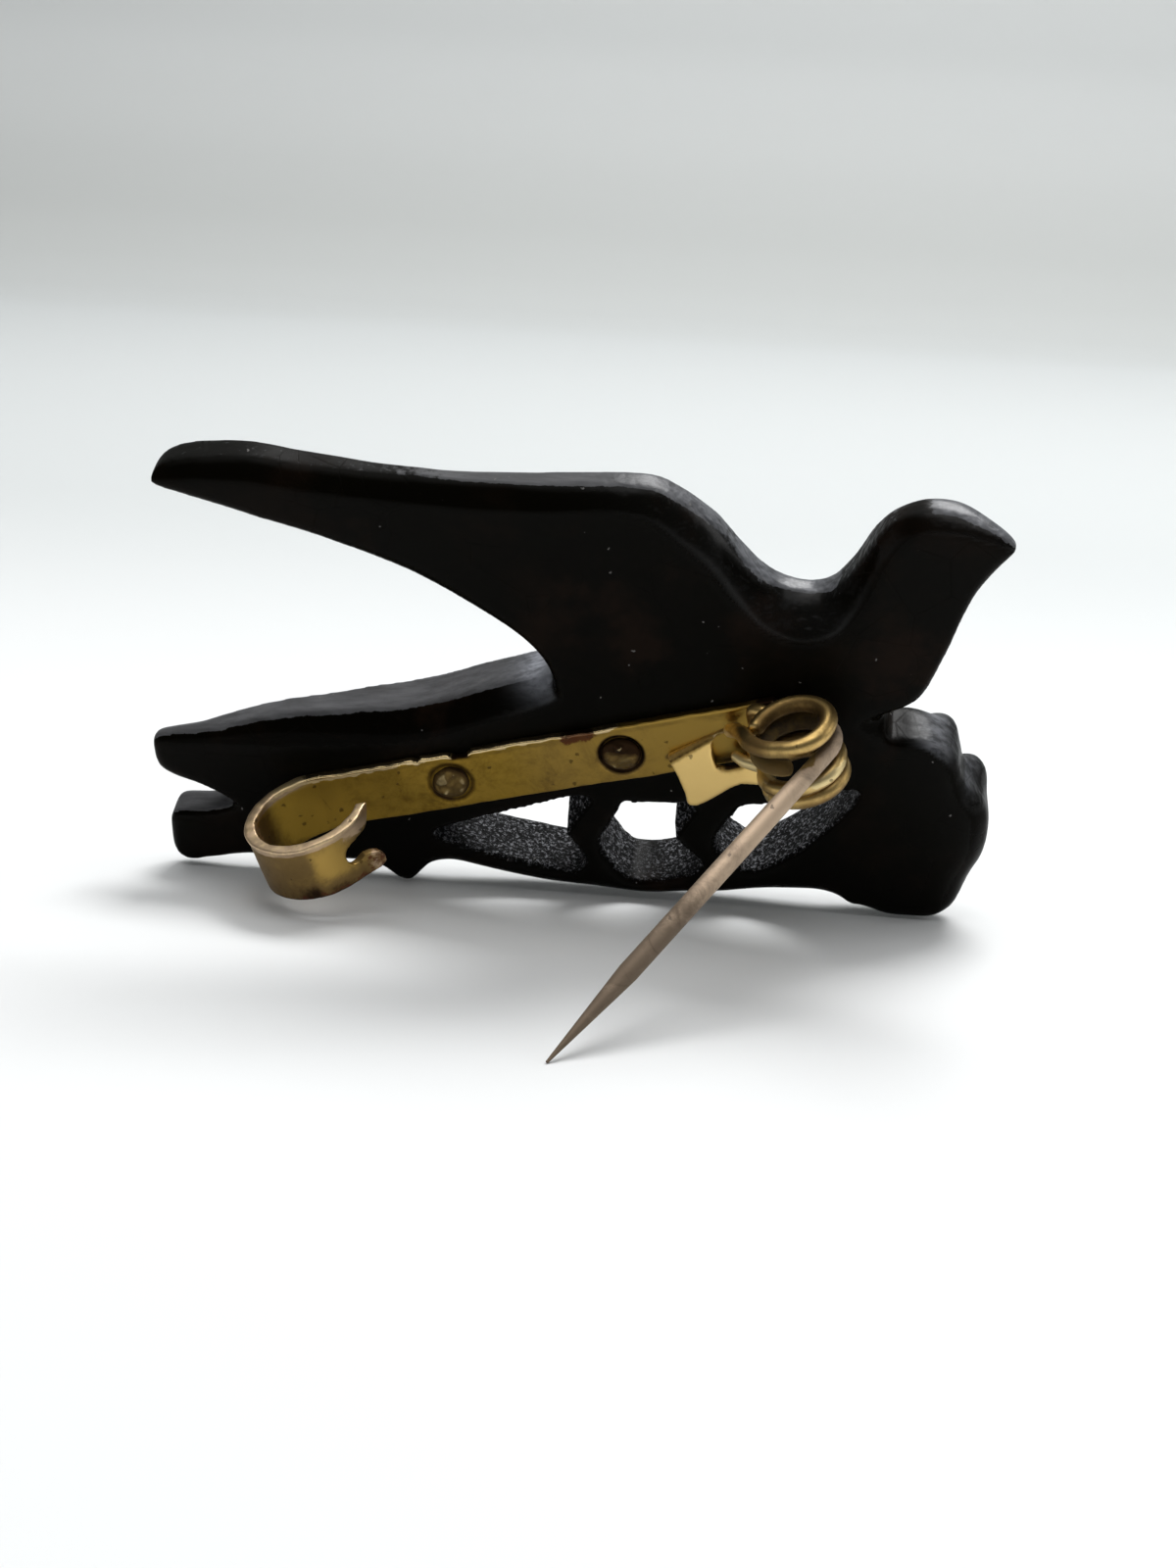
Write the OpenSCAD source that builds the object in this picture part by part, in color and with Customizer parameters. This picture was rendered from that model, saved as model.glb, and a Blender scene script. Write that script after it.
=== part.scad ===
// Carved wooden brooch: a flying bird over a flower branch, cut from one flat piece of dark wood.
// It stands on its lower edge and on the point of its open pin, with its flat back and its
// brass clasp towards -Y. Millimetres, +Z up, the floor at Z = 0.
// The flat frame of the wood is a along the two feet, b up the back, n out of the back.

/* [Stance] */
// Lean of the flat back towards the pin's point, in degrees
lean = 23; // [23:0.5:25]
// How far the feet are worn flat by the floor
foot_wear = 0.04; // [0.02:0.01:0.1]

/* [Wood] */
// Depth of the saw cut walls round the pierced gaps
saw_depth = 4.3; // [4:0.1:4.6]
// Depth of the petals at their middle
petal_depth = 5.4; // [5.2:0.1:5.8]
// Depth of the carved feather grooves on the front
groove_depth = 0.3; // [0.2:0.05:0.4]

/* [Brass strip] */
// Slope of the strip along the back, in degrees
strip_slope = 16.5; // [15:0.5:18]
// Width of the strip above the rivets' line
strip_up = 2.0; // [1.9:0.05:2.1]
// Width of the strip below the rivets' line
strip_down = 1.85; // [1.7:0.05:1.9]
// Thickness of the sheet
sheet_t = 0.55; // [0.5:0.05:0.6]
// Length of the strip right of the left rivet
strip_l = 20.4; // [20:0.1:21]

/* [Catch] */
// Outer radius of the catch's loop
catch_r = 3.75; // [3.6:0.05:3.8]
// Distance of the loop's centre left of the left rivet
catch_u = 8.05; // [8:0.05:8.2]

/* [Rivets] */
// Distance between the rivets
rivet_gap = 10.6; // [10.2:0.1:11]
// Radius of a rivet's head
rivet_r = 1.25; // [1.2:0.05:1.3]
// Radius of a rivet's shank
shank_r = 0.55; // [0.5:0.05:0.6]

/* [Spring and pin] */
// Diameter of the wire
wire_d = 1.0; // [0.9:0.05:1]
// Radius of the rings to the middle of the wire
ring_r = 2.2; // [2.1:0.05:2.25]
// Distance of the rings' axis right of the left rivet
ring_u = 21.45; // [21.4:0.05:21.6]
// Height of the rings' axis over the flat back
ring_n = 3.5; // [3.4:0.05:3.6]
// Length of the needle from its ring to its point
needle_l = 26.1; // [26.05:0.05:26.4]
// Length of the needle's sharpened end
point_l = 7; // [6:0.5:8]
// Radius of the needle, which is thicker than the rings' wire
needle_r = 0.57; // [0.53:0.01:0.58]
// Length over which the wire of the ring grows to the needle's full thickness
neck_l = 5; // [4:0.5:7]

/* [Hidden] */

// Smooth steps between two rows of a table
ROW_STEPS = 3;
// Gap between the brass and the wood, and between one piece of metal and the next
seat_gap = 0.05;
// Place of the left rivet in the flat frame
rivet_a = 3.05;
rivet_b = 8.54;
// Middle of the standing brooch in the flat frame along a, and in depth on the floor
middle_x = 10.02;
middle_y = -12.5;
sheet_top = seat_gap + sheet_t;
catch_n = seat_gap + catch_r;
wire_r = wire_d / 2;
// Places of the rings along the strip's width: upper and lower fixed ring, and the needle's
ring_up_w = 2.15;
needle_w = 0.78;
ring_mid_w = -0.42;
ring_low_w = -1.46;
// Sideways lean of the needle at its point
bend = 0.48;
// Turn of wire that the needle's ring has before it would meet the needle again
needle_turn = 300;
// The ring ends this far short of the needle, in degrees, inside a small round knuckle
knuckle_step = 3;
knuckle_r = wire_r + 0.05;
point_r = 0.08;

// Columns of the carving tables. A row is one cut across the wood, from its upper edge point
// to its lower one: the edge points, the width of the bevel on the back and the depth of the
// side wall at each of the two edges, and the depth of the front at the middle of the cut.
UA = 0; UB = 1; LA = 2; LB = 3;
BEVEL_U = 4; SIDE_U = 5; BEVEL_L = 6; SIDE_L = 7; CROWN = 8;

// Wing, shoulder, neck and head, from the wing's tip round to the beak
WING = [
    [-14.0, 28.0, -13.9, 27.7, 0.1, 1.8, 0.1, 1.7, 1.9],
    [-13.6, 28.5, -13.2, 27.4, 0.5, 2.3, 0.1, 1.9, 2.4],
    [-12.6, 28.9, -12.0, 27.1, 0.8, 2.7, 0.1, 2.1, 3.0],
    [-10.8, 29.2, -10.0, 26.5, 0.9, 2.9, 0.1, 2.3, 3.4],
    [-8.4, 29.3, -7.5, 25.8, 1.0, 2.9, 0.1, 2.5, 3.6],
    [-5.4, 29.0, -4.5, 25.0, 1.0, 2.7, 0.1, 2.6, 3.8],
    [-2.1, 28.8, -1.3, 24.0, 1.05, 2.4, 0.1, 2.8, 3.9],
    [1.3, 28.7, 1.6, 22.8, 1.1, 2.2, 0.1, 3.0, 4.1],
    [4.6, 28.6, 4.6, 21.0, 1.1, 2.3, 0.1, 3.3, 4.4],
    [8.5, 28.7, 7.3, 18.9, 1.1, 2.6, 0.1, 3.6, 4.9],
    [12.1, 28.9, 8.8, 16.8, 1.1, 2.7, 0.2, 4.2, 5.6],
    [14.5, 28.7, 9.6, 14.4, 1.2, 3.0, 0.3, 4.6, 6.0],
    [16.2, 27.6, 12.5, 13.0, 1.4, 3.2, 0.3, 4.6, 6.0],
    [17.8, 26.0, 15.5, 12.5, 1.5, 3.4, 0.3, 4.6, 5.9],
    [19.6, 23.8, 18.5, 12.3, 1.6, 3.6, 0.3, 4.6, 5.7],
    [21.4, 22.4, 21.5, 12.4, 1.9, 3.7, 0.3, 4.4, 5.5],
    [23.3, 22.0, 24.6, 13.2, 2.0, 3.6, 0.3, 4.2, 5.4],
    [24.8, 22.5, 27.6, 14.6, 1.8, 3.5, 0.3, 4.0, 5.3],
    [26.0, 24.2, 30.3, 16.2, 1.4, 3.3, 0.3, 3.8, 5.2],
    [26.9, 26.3, 31.7, 19.4, 1.1, 2.9, 0.3, 3.4, 5.0],
    [28.0, 27.9, 32.3, 21.8, 0.9, 2.4, 0.3, 3.2, 4.8],
    [29.5, 28.6, 32.9, 23.7, 0.9, 2.3, 0.3, 3.0, 4.5],
    [31.2, 28.6, 33.6, 25.1, 0.9, 2.2, 0.3, 2.6, 3.8],
    [32.6, 28.2, 34.1, 26.0, 0.8, 1.8, 0.2, 2.1, 2.6],
    [33.9, 27.6, 34.5, 26.6, 0.4, 1.2, 0.1, 1.4, 1.6],
    [34.6, 27.1, 34.7, 26.9, 0.1, 0.9, 0.1, 0.9, 1.0]
];

// Tail and belly, from the tail's end to inside the flower
TAIL = [
    [-15.3, 9.3, -15.2, 8.1, 0.1, 0.8, 0.1, 1.4, 1.6],
    [-15.0, 9.7, -15.0, 7.5, 0.2, 0.9, 0.1, 1.8, 2.2],
    [-13.9, 9.9, -14.1, 6.9, 0.3, 1.0, 0.1, 2.2, 2.8],
    [-12.7, 9.9, -13.0, 6.5, 0.4, 1.3, 0.1, 2.5, 3.3],
    [-11.0, 10.0, -11.2, 5.6, 0.5, 1.9, 0.1, 2.8, 3.8],
    [-8.5, 10.3, -9.0, 4.2, 0.8, 2.6, 0.2, 3.0, 4.2],
    [-4.8, 10.8, -4.6, 2.8, 1.0, 3.2, 0.2, 3.4, 4.6],
    [-0.9, 11.6, -0.6, 2.8, 1.2, 4.2, 0.2, 4.0, 5.0],
    [2.4, 12.8, 2.2, 4.3, 1.4, 4.5, 0.1, 4.3, 5.3],
    [4.4, 13.8, 4.9, 5.5, 1.4, 4.6, 0.1, 4.3, 5.4],
    [7.4, 15.1, 7.6, 6.5, 1.4, 4.4, 0.1, 4.3, 5.5],
    [10.5, 16.4, 10.6, 7.6, 1.2, 4.3, 0.1, 4.3, 5.5],
    [14.0, 16.6, 14.0, 7.4, 1.0, 4.3, 0.1, 4.3, 5.5],
    [18.0, 16.6, 17.8, 7.7, 1.0, 4.3, 0.1, 4.3, 5.5],
    [21.5, 16.4, 21.5, 7.9, 1.0, 4.3, 0.1, 4.3, 5.4],
    [25.2, 15.6, 25.4, 9.2, 1.0, 4.2, 0.1, 4.3, 5.3],
    [28.6, 14.6, 29.0, 9.8, 1.0, 4.0, 0.1, 4.0, 5.0]
];

// Branch, from its left end under the tail to inside the flower
BRANCH = [
    [-14.7, 3.4, -14.7, 1.5, 0.1, 1.8, 0.1, 1.7, 1.9],
    [-14.4, 4.1, -14.4, 0.7, 0.2, 2.2, 0.1, 2.0, 2.5],
    [-13.6, 4.3, -13.7, 0.3, 0.2, 2.3, 0.1, 2.1, 2.8],
    [-12.0, 4.4, -12.0, 0.6, 0.2, 2.3, 0.2, 2.2, 3.0],
    [-9.8, 5.0, -9.8, 1.0, 0.2, 2.5, 0.4, 2.4, 3.2],
    [-6.0, 5.2, -6.0, 0.9, 0.2, 3.0, 0.6, 2.8, 3.5],
    [-2.2, 4.6, -2.2, 0.8, 0.2, 3.6, 0.8, 3.2, 4.0],
    [0.8, 4.0, 0.9, 0.9, 0.1, 4.0, 0.8, 3.6, 4.2],
    [2.8, 3.4, 2.8, 1.3, 0.1, 4.2, 0.9, 3.9, 4.4],
    [5.3, 2.7, 5.3, 0.8, 0.1, 4.3, 0.9, 3.9, 4.5],
    [8.9, 2.0, 8.9, 0.3, 0.1, 4.3, 0.8, 3.9, 4.5],
    [12.0, 1.7, 12.0, 0.2, 0.1, 4.3, 0.7, 3.9, 4.5],
    [14.8, 1.4, 14.8, 0.1, 0.1, 4.3, 0.6, 3.9, 4.5],
    [17.0, 2.0, 17.0, 0.3, 0.1, 4.3, 0.7, 3.9, 4.5],
    [19.2, 2.9, 19.2, 0.5, 0.1, 4.3, 0.7, 3.9, 4.6],
    [21.4, 2.9, 21.4, 0.8, 0.1, 4.3, 0.8, 3.9, 4.6],
    [23.7, 4.4, 23.7, 1.1, 0.1, 4.3, 0.8, 3.9, 4.7],
    [25.7, 6.6, 25.7, 1.3, 0.1, 4.3, 0.6, 3.9, 4.8],
    [27.4, 9.0, 27.4, 0.9, 0.1, 4.3, 0.2, 3.9, 4.8]
];

// Flower, from the foot up to the lobe under the bird's breast: the upper point of a row is
// its left end and the lower point its right end
FLOWER = [
    [29.8, 0.0, 32.4, 0.0, 0.1, 3.0, 0.2, 2.8, 3.4],
    [28.3, 0.55, 33.5, 0.8, 0.1, 3.6, 0.5, 3.0, 4.0],
    [27.0, 1.0, 33.9, 2.0, 0.1, 3.9, 0.8, 3.2, 4.3],
    [26.4, 2.8, 34.3, 3.3, 0.1, 4.0, 0.9, 3.3, 4.5],
    [26.0, 4.6, 35.0, 4.7, 0.1, 4.1, 1.0, 3.4, 4.6],
    [26.2, 6.6, 35.3, 6.8, 0.1, 4.2, 1.0, 3.4, 4.7],
    [26.9, 8.2, 35.1, 8.3, 0.1, 4.2, 1.0, 3.4, 4.7],
    [27.4, 9.4, 34.3, 9.4, 0.1, 4.2, 1.0, 3.4, 4.6],
    [27.8, 10.3, 33.7, 10.3, 0.1, 4.2, 0.8, 3.5, 4.6],
    [28.2, 11.3, 33.4, 11.4, 0.1, 4.2, 0.8, 3.5, 4.5],
    [28.6, 12.2, 32.7, 12.3, 0.1, 4.2, 0.7, 3.5, 4.4],
    [28.8, 12.9, 31.7, 13.0, 0.1, 4.0, 0.5, 3.4, 4.2],
    [29.0, 13.3, 30.7, 13.4, 0.1, 3.8, 0.3, 3.3, 3.9]
];

// Petals on the front: direction from the flower's middle in degrees, and length
PETALS = [[-62, 6.2], [-22, 5.4], [18, 5.6], [62, 6.0], [118, 4.2]];
petal_a = 29.6;
petal_b = 7.0;

// Legs between belly and branch. Columns: the leg's outline on the back, then the same
// points on the front, each as place along a and b
LEG_LEFT_BACK = [[11.5, 8.4], [11.6, 6.2], [10.1, 4.4], [11.2, 2.7], [10.4, 1.2],
    [14.4, 1.0], [13.2, 2.1], [12.1, 3.7], [12.0, 4.5], [12.6, 5.6], [13.7, 8.4]];
LEG_RIGHT_BACK = [[18.0, 8.6], [18.1, 6.7], [16.7, 4.7], [18.4, 3.0], [17.0, 1.4],
    [21.0, 1.4], [20.6, 3.1], [19.3, 4.1], [18.9, 4.8], [19.2, 5.7], [20.9, 8.6]];

function row_mix(r0, r1, r2, r3, t) =
    0.5 * (2 * r1 + (r2 - r0) * t + (2 * r0 - 5 * r1 + 4 * r2 - r3) * t * t
        + (3 * r1 - r0 - 3 * r2 + r3) * t * t * t);

// Rows of a table with smooth steps between them
function smooth_rows(rows) = let (last = len(rows) - 1) [
    for (i = [0 : last - 1], s = [0 : ROW_STEPS - 1])
        row_mix(rows[max(i - 1, 0)], rows[i], rows[i + 1], rows[min(i + 2, last)], s / ROW_STEPS),
    rows[last]
];

// Place on a row's line, q from 0 at the upper point to 1 at the lower point
function row_at(row, q) = [row[UA] + (row[LA] - row[UA]) * q, row[UB] + (row[LB] - row[UB]) * q];
function row_width(row) = norm([row[LA] - row[UA], row[LB] - row[UB]]);

// Depth of the carved front at q
function front_depth(row, q) =
    let (side = row[SIDE_U] + (row[SIDE_L] - row[SIDE_U]) * q, over = 1 - pow(2 * q - 1, 2))
    side + max(row[CROWN] - (row[SIDE_U] + row[SIDE_L]) / 2, 0.05) * over;

// One closed section across the wood
function section(row) = let (
    w = row_width(row),
    bu = min(row[BEVEL_U], 0.45 * w), bl = min(row[BEVEL_L], 0.45 * w),
    point = function (q, n) concat(row_at(row, q), [n])
) concat(
    [point(bu / w, 0), point(0.3 * bu / w, -0.7 * bu), point(0, -1.15 * bu)],
    [for (q = [0, 0.05, 0.14, 0.28, 0.43, 0.57, 0.72, 0.86, 0.95, 1]) point(q, -front_depth(row, q))],
    [point(1, -1.15 * bl), point(1 - 0.3 * bl / w, -0.7 * bl), point(1 - bl / w, 0)]
);

// Solid through the sections of a carving table
module carve(rows) {
    fine = smooth_rows(rows);
    k = len(section(fine[0]));
    count = len(fine);
    polyhedron(
        points = [for (row = fine) each section(row)],
        faces = concat(
            [[for (j = [k - 1 : -1 : 0]) j]],
            [for (i = [0 : count - 2], j = [0 : k - 1]) let (m = (j + 1) % k)
                [i * k + j, i * k + m, (i + 1) * k + m, (i + 1) * k + j]],
            [[for (j = [0 : k - 1]) (count - 1) * k + j]]
        ),
        convexity = 8
    );
}

// Rounded cut along a carving table's line q, on the front
module groove(rows, q, from, to) {
    fine = smooth_rows(rows);
    for (i = [from : 3 : to - 3])
        hull() for (j = [i, i + 3])
            translate([each row_at(fine[j], q), -front_depth(fine[j], q)])
                sphere(r = groove_depth, $fn = 8);
}

// Leg with upright saw cut walls and a knife cut down the left of its back edge
module leg(back, cut_from, cut_to, cut_left) {
    translate([0, 0, -saw_depth]) linear_extrude(saw_depth) polygon(back);
    hull() {
        translate([cut_from[0], cut_from[1], -0.1]) cube([1.2, 0.1, 0.1]);
        translate([cut_to[0] - 0.1, cut_to[1], -0.1]) cube([1.2, 0.1, 0.1]);
        translate([cut_left, cut_to[1], -saw_depth]) cube([1.5, cut_from[1] - cut_to[1], 1.8]);
    }
}

module petal(angle, length) {
    hull() for (place = [[0.35, 1.1], [0.8, 1.5]])
        translate([petal_a + place[0] * length * cos(angle), petal_b + place[0] * length * sin(angle),
            place[1] - petal_depth]) sphere(r = place[1], $fn = 20);
}

module foot() {
    hull() {
        translate([-1.9, 1.2, -2.6]) cube([3.2, 1.6, 2.6]);
        translate([-0.3, -0.02, -2.0]) cube([0.6, 0.2, 2.0]);
    }
}

// Half space over the floor, in the flat frame
module above_floor(lift) {
    rotate([-90 - lean, 0, 0]) translate([-50, -50, lift]) cube(100);
}

module flat_bird() {
    intersection() {
        difference() {
            union() {
                carve(WING);
                carve(TAIL);
                carve(BRANCH);
                carve(FLOWER);
                leg(LEG_LEFT_BACK, [11.6, 7.4], [10.05, 4.5], 9.95);
                leg(LEG_RIGHT_BACK, [18.1, 7.6], [16.65, 4.8], 16.45);
                foot();
                for (p = PETALS) petal(p[0], p[1]);
                translate([petal_a, petal_b, 1.3 - petal_depth - 0.2]) sphere(r = 1.5, $fn = 24);
            }
            for (q = [0.35, 0.58, 0.8]) groove(WING, q, 9, 36);
            for (q = [0.35, 0.68]) groove(TAIL, q, 6, 24);
            translate([30.9, 26.6, -4.5]) sphere(r = 0.55, $fn = 16);
            for (u = [0, rivet_gap]) strip_frame()
                translate([u, 0, -1.7]) cylinder(r = shank_r + 0.15, h = 2, $fn = 24);
        }
        above_floor(foot_wear);
    }
}

// Frame of the strip: u to the right along it, w across it upwards, n out of the back,
// from the left rivet
module strip_frame() {
    translate([rivet_a, rivet_b, 0]) rotate([0, 0, strip_slope]) children();
}

// From the flat frame to the standing brooch
module stand() {
    translate([-middle_x, -middle_y, -foot_wear]) rotate([90 + lean, 0, 0]) children();
}

// Part of the catch's loop between two angles round its centre
module loop_part(from, to, from_w, to_w) {
    translate([-catch_u, to_w, catch_n]) rotate([90, 0, 0])
        rotate_extrude(angle = to - from, start = from, $fn = 64)
            translate([catch_r - sheet_t, 0]) square([sheet_t, to_w - from_w]);
}

// Catch: a loop of the strip whose free end is cut into two prongs. The upper one follows the
// loop, the lower one is bent outwards.
prong_root = 42;
prong_end = 3;
prong_split = -0.1;
low_prong_l = 2.0;
low_prong_flare = 18;
module catch() {
    loop_part(prong_root, 270, -strip_down, strip_up);
    difference() {
        loop_part(prong_end, prong_root, prong_split, strip_up);
        prong_notch();
    }
    difference() {
        translate([-catch_u, prong_split, catch_n]) rotate([90, 0, 0])
            linear_extrude(strip_down + prong_split)
            rotate(prong_root) translate([catch_r - sheet_t, 0.1]) rotate(low_prong_flare)
                translate([0, -low_prong_l]) square([sheet_t, low_prong_l + 0.2]);
        prong_notch();
    }
}

// Notch between the prongs, seen along the strip: a keyhole that opens downwards
module prong_notch() {
    translate([-catch_u, 0, 0]) rotate([90, 0, 90]) linear_extrude(8)
        polygon([[-0.75, 5.9], [-0.3, 6.2], [0.2, 5.95], [0.75, 5.2], [1.1, 4.4], [1.6, 3.6], [1.9, 2],
            [-1.2, 2], [-1.15, 4.4], [-1.05, 5.2]]);
}

// Tab folded up from the strip's lower edge, with a square hole for the spring's tail
tab_tilt = 14;
tab_root_w = 0.5;
tab_root_depth = 0.35;
module tab() {
    translate([0, tab_root_w, sheet_top - 0.15]) rotate([-tab_tilt, 0, 0]) difference() {
        union() {
            linear_extrude(sheet_t - 0.05)
                polygon([[13.4, -0.9], [17.0, 0.05], [17.6, 0.2], [18.2, -0.2], [18.6, -0.6], [18.6, -3.7],
                    [18.2, -3.6], [17.2, -3.35], [15.1, -4.1], [14.3, -4.3], [13.85, -4.05], [13.9, -3.2]]);
            translate([0, 0, -tab_root_depth]) linear_extrude(tab_root_depth + 0.1)
                polygon([[13.6, -1.0], [17.0, -0.1], [17.6, 0.1], [18.2, -0.3], [18.5, -0.6], [18.5, -1.9],
                    [13.8, -1.9]]);
        }
        translate([16.4, -2.0, -1]) cube([1.5, 1.9, 2]);
    }
}

module flat_plate() {
    difference() {
        union() {
            translate([-catch_u, -strip_down, seat_gap])
                cube([catch_u + strip_l, strip_up + strip_down, sheet_t]);
            catch();
            tab();
        }
        for (u = [0, rivet_gap]) translate([u, 0, 0]) {
            cylinder(r = shank_r + 0.05, h = 3, $fn = 32);
            translate([0, 0, sheet_top - 0.2]) cylinder(r = rivet_r + 0.15, h = 1, $fn = 48);
        }
    }
}

module rivet() {
    rotate_extrude($fn = 48) polygon([[0, -1.6], [shank_r, -1.6], [shank_r, sheet_top - 0.17],
        [rivet_r, sheet_top - 0.17], [rivet_r, sheet_top], [rivet_r - 0.2, sheet_top + 0.2],
        [0.5, sheet_top + 0.3], [0, sheet_top + 0.28]]);
}

// One ring of the spring, its axis across the strip
module ring(w, from = 0, turn = 360) {
    translate([ring_u, w, ring_n]) rotate([90, 0, 0])
        rotate_extrude(angle = turn, start = from, $fn = 48)
            translate([ring_r, 0]) circle(r = wire_r, $fn = 24);
}

// Straight wire between two points
module wire(p0, p1, r) {
    d = p1 - p0;
    translate(p0) rotate([0, acos(d[2] / norm(d)), atan2(d[1], d[0])])
        cylinder(r = r, h = norm(d), $fn = 24);
}

// The fixed rings, their link beside the needle's ring, and the tail that ends in the tab's hole
link_u = ring_u - 2.45;
link_n = sheet_top + 0.55;
link_r = 0.4;
link_over = 0.3;
tail_r = 0.36;
tail_elbow = [17.85, -1.1, 1.95];
tail_end = [17.1, -0.9, 1.15];
module flat_spring() {
    for (w = [ring_up_w, ring_mid_w, ring_low_w]) {
        ring(w);
        wire([link_u, w, link_n], [ring_u - 1.5, w, ring_n - 1.6], link_r);
    }
    wire([link_u, ring_low_w - link_over, link_n], [link_u, ring_up_w + link_over, link_n], link_r);
    wire([ring_u - 2.1, ring_low_w, ring_n - 0.5], tail_elbow, tail_r);
    translate(tail_elbow) sphere(r = tail_r + 0.02, $fn = 24);
    wire(tail_elbow, tail_end, tail_r);
}

// Angle of the open needle over the strip, at which its point meets the floor
reach = (rivet_b + ring_u * sin(strip_slope) + (needle_w - bend) * cos(strip_slope)) * cos(lean)
    - ring_n * sin(lean) - foot_wear - point_r;
reach_sin = needle_l * sin(lean) - ring_r * sin(strip_slope) * cos(lean);
reach_cos = needle_l * sin(strip_slope) * cos(lean) + ring_r * sin(lean);
open_angle = atan2(reach_sin, reach_cos) + acos(min(reach / norm([reach_sin, reach_cos]), 1));

module flat_needle() {
    ring(needle_w, 90 - open_angle - needle_turn, needle_turn - knuckle_step);
    translate([ring_u, needle_w, ring_n]) rotate([0, open_angle, 0])
        translate([0, 0, ring_r]) {
            sphere(r = knuckle_r, $fn = 32);
            rotate([0, -90, asin(bend / needle_l)]) rotate_extrude($fn = 32)
                polygon([[0, 0.1], [wire_r, 0.1], [needle_r, neck_l], [needle_r, needle_l - point_l],
                    [point_r, needle_l], [0, needle_l]]);
        }
}

module carved_bird() { color("#1d1a18") stand() flat_bird(); }
module back_plate() { color("#b08f3c") stand() strip_frame() flat_plate(); }
module rivet_left() { color("#7d6a3a") stand() strip_frame() rivet(); }
module rivet_right() { color("#7d6a3a") stand() strip_frame() translate([rivet_gap, 0, 0]) rivet(); }
module spring_coil() { color("#a08a55") stand() strip_frame() flat_spring(); }
module pin_needle() { color("#8d7b68") stand() strip_frame() flat_needle(); }

carved_bird();
back_plate();
rivet_left();
rivet_right();
spring_coil();
pin_needle();
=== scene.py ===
"""The looks of a carved wooden brooch: a flying bird over a flower branch, with a brass clasp.

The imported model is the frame. Every piece is built in the brooch's own flat frame, in
millimetres: a along the two feet, b up the back and n out of the flat back. A piece of the
clasp is built in the strip's frame: u along the strip, w across it and n out of the back.
Both are turned into the standing brooch's place, in metres, when a mesh is made. Sizes are in
millimetres and angles in radians where nothing else is said.
"""

import logging
import math
from dataclasses import dataclass, field
from enum import Enum
from typing import Callable, Optional, Sequence

import bmesh
import bpy
import numpy as np
from mathutils import Matrix, Vector


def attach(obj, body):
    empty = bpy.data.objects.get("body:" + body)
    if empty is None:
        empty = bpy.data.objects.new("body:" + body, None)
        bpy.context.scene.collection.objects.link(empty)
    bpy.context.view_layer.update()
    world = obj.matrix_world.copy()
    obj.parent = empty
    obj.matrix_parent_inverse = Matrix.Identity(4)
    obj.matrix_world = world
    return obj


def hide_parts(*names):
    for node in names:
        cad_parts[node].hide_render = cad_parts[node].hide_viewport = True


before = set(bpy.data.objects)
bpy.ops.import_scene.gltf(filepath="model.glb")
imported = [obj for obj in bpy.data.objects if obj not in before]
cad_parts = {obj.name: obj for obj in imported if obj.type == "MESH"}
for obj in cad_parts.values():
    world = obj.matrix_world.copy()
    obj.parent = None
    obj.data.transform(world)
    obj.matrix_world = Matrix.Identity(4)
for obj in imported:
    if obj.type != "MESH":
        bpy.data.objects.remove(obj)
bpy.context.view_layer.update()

log = logging.getLogger("brooch")
MM = 0.001
FULL_TURN = 2.0 * math.pi
FLOAT2 = tuple[float, float]
FLOAT3 = tuple[float, float, float]
SOCKETS = bpy.types.bpy_prop_collection


@dataclass(frozen=True)
class Stance:
    """How the flat brooch stands: its lean, and where its flat frame lies on the floor.

    Attributes:
        lean: How far the back leans from upright.
        middle_a: The place along the feet that comes to the origin.
        middle_y: The depth that comes to the origin.
        sunk: How far the whole is lowered to stand on the floor.
    """

    lean: float = math.radians(23.0)
    middle_a: float = 10.02
    middle_y: float = -12.5
    sunk: float = 0.04

    def place(self, flat: np.ndarray) -> np.ndarray:
        """Turn points of the flat frame into points of the standing brooch.

        Args:
            flat: Points as rows of a, b and n, in millimetres.

        Returns:
            The same points in the object's frame, in metres.
        """
        s, c = math.sin(self.lean), math.cos(self.lean)
        a, b, n = flat[:, 0], flat[:, 1], flat[:, 2]
        x = a - self.middle_a
        y = -b * s - n * c - self.middle_y
        z = b * c - n * s - self.sunk
        return np.stack([x, y, z], 1) * MM

    def flatten(self, placed: np.ndarray) -> np.ndarray:
        """Turn points of the standing brooch back into the flat frame.

        Args:
            placed: Points of the object's frame as rows, in metres.

        Returns:
            The same points as rows of a, b and n, in millimetres.
        """
        s, c = math.sin(self.lean), math.cos(self.lean)
        x, y, z = (placed / MM).T
        y = y + self.middle_y
        z = z + self.sunk
        return np.stack([x + self.middle_a, -y * s + z * c, -y * c - z * s], 1)


@dataclass(frozen=True)
class StripPlace:
    """Where the brass strip lies on the flat back: its left rivet and its slope.

    Attributes:
        rivet_a: The left rivet's place along the feet.
        rivet_b: The left rivet's place up the back.
        slope: How far the strip rises to the right.
    """

    rivet_a: float = 3.05
    rivet_b: float = 8.54
    slope: float = math.radians(16.5)

    def to_flat(self, strip: np.ndarray) -> np.ndarray:
        """Turn points of the strip's frame into points of the brooch's flat frame.

        Args:
            strip: Points as rows of u, w and n.

        Returns:
            The same points as rows of a, b and n.
        """
        s, c = math.sin(self.slope), math.cos(self.slope)
        u, w, n = strip.T
        return np.stack([self.rivet_a + u * c - w * s, self.rivet_b + u * s + w * c, n], 1)


STANCE = Stance()
STRIP = StripPlace()


def place_strip(points: np.ndarray) -> np.ndarray:
    """Turn points of the strip's frame, in millimetres, into the object's frame, in metres."""
    return STANCE.place(STRIP.to_flat(points))


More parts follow.
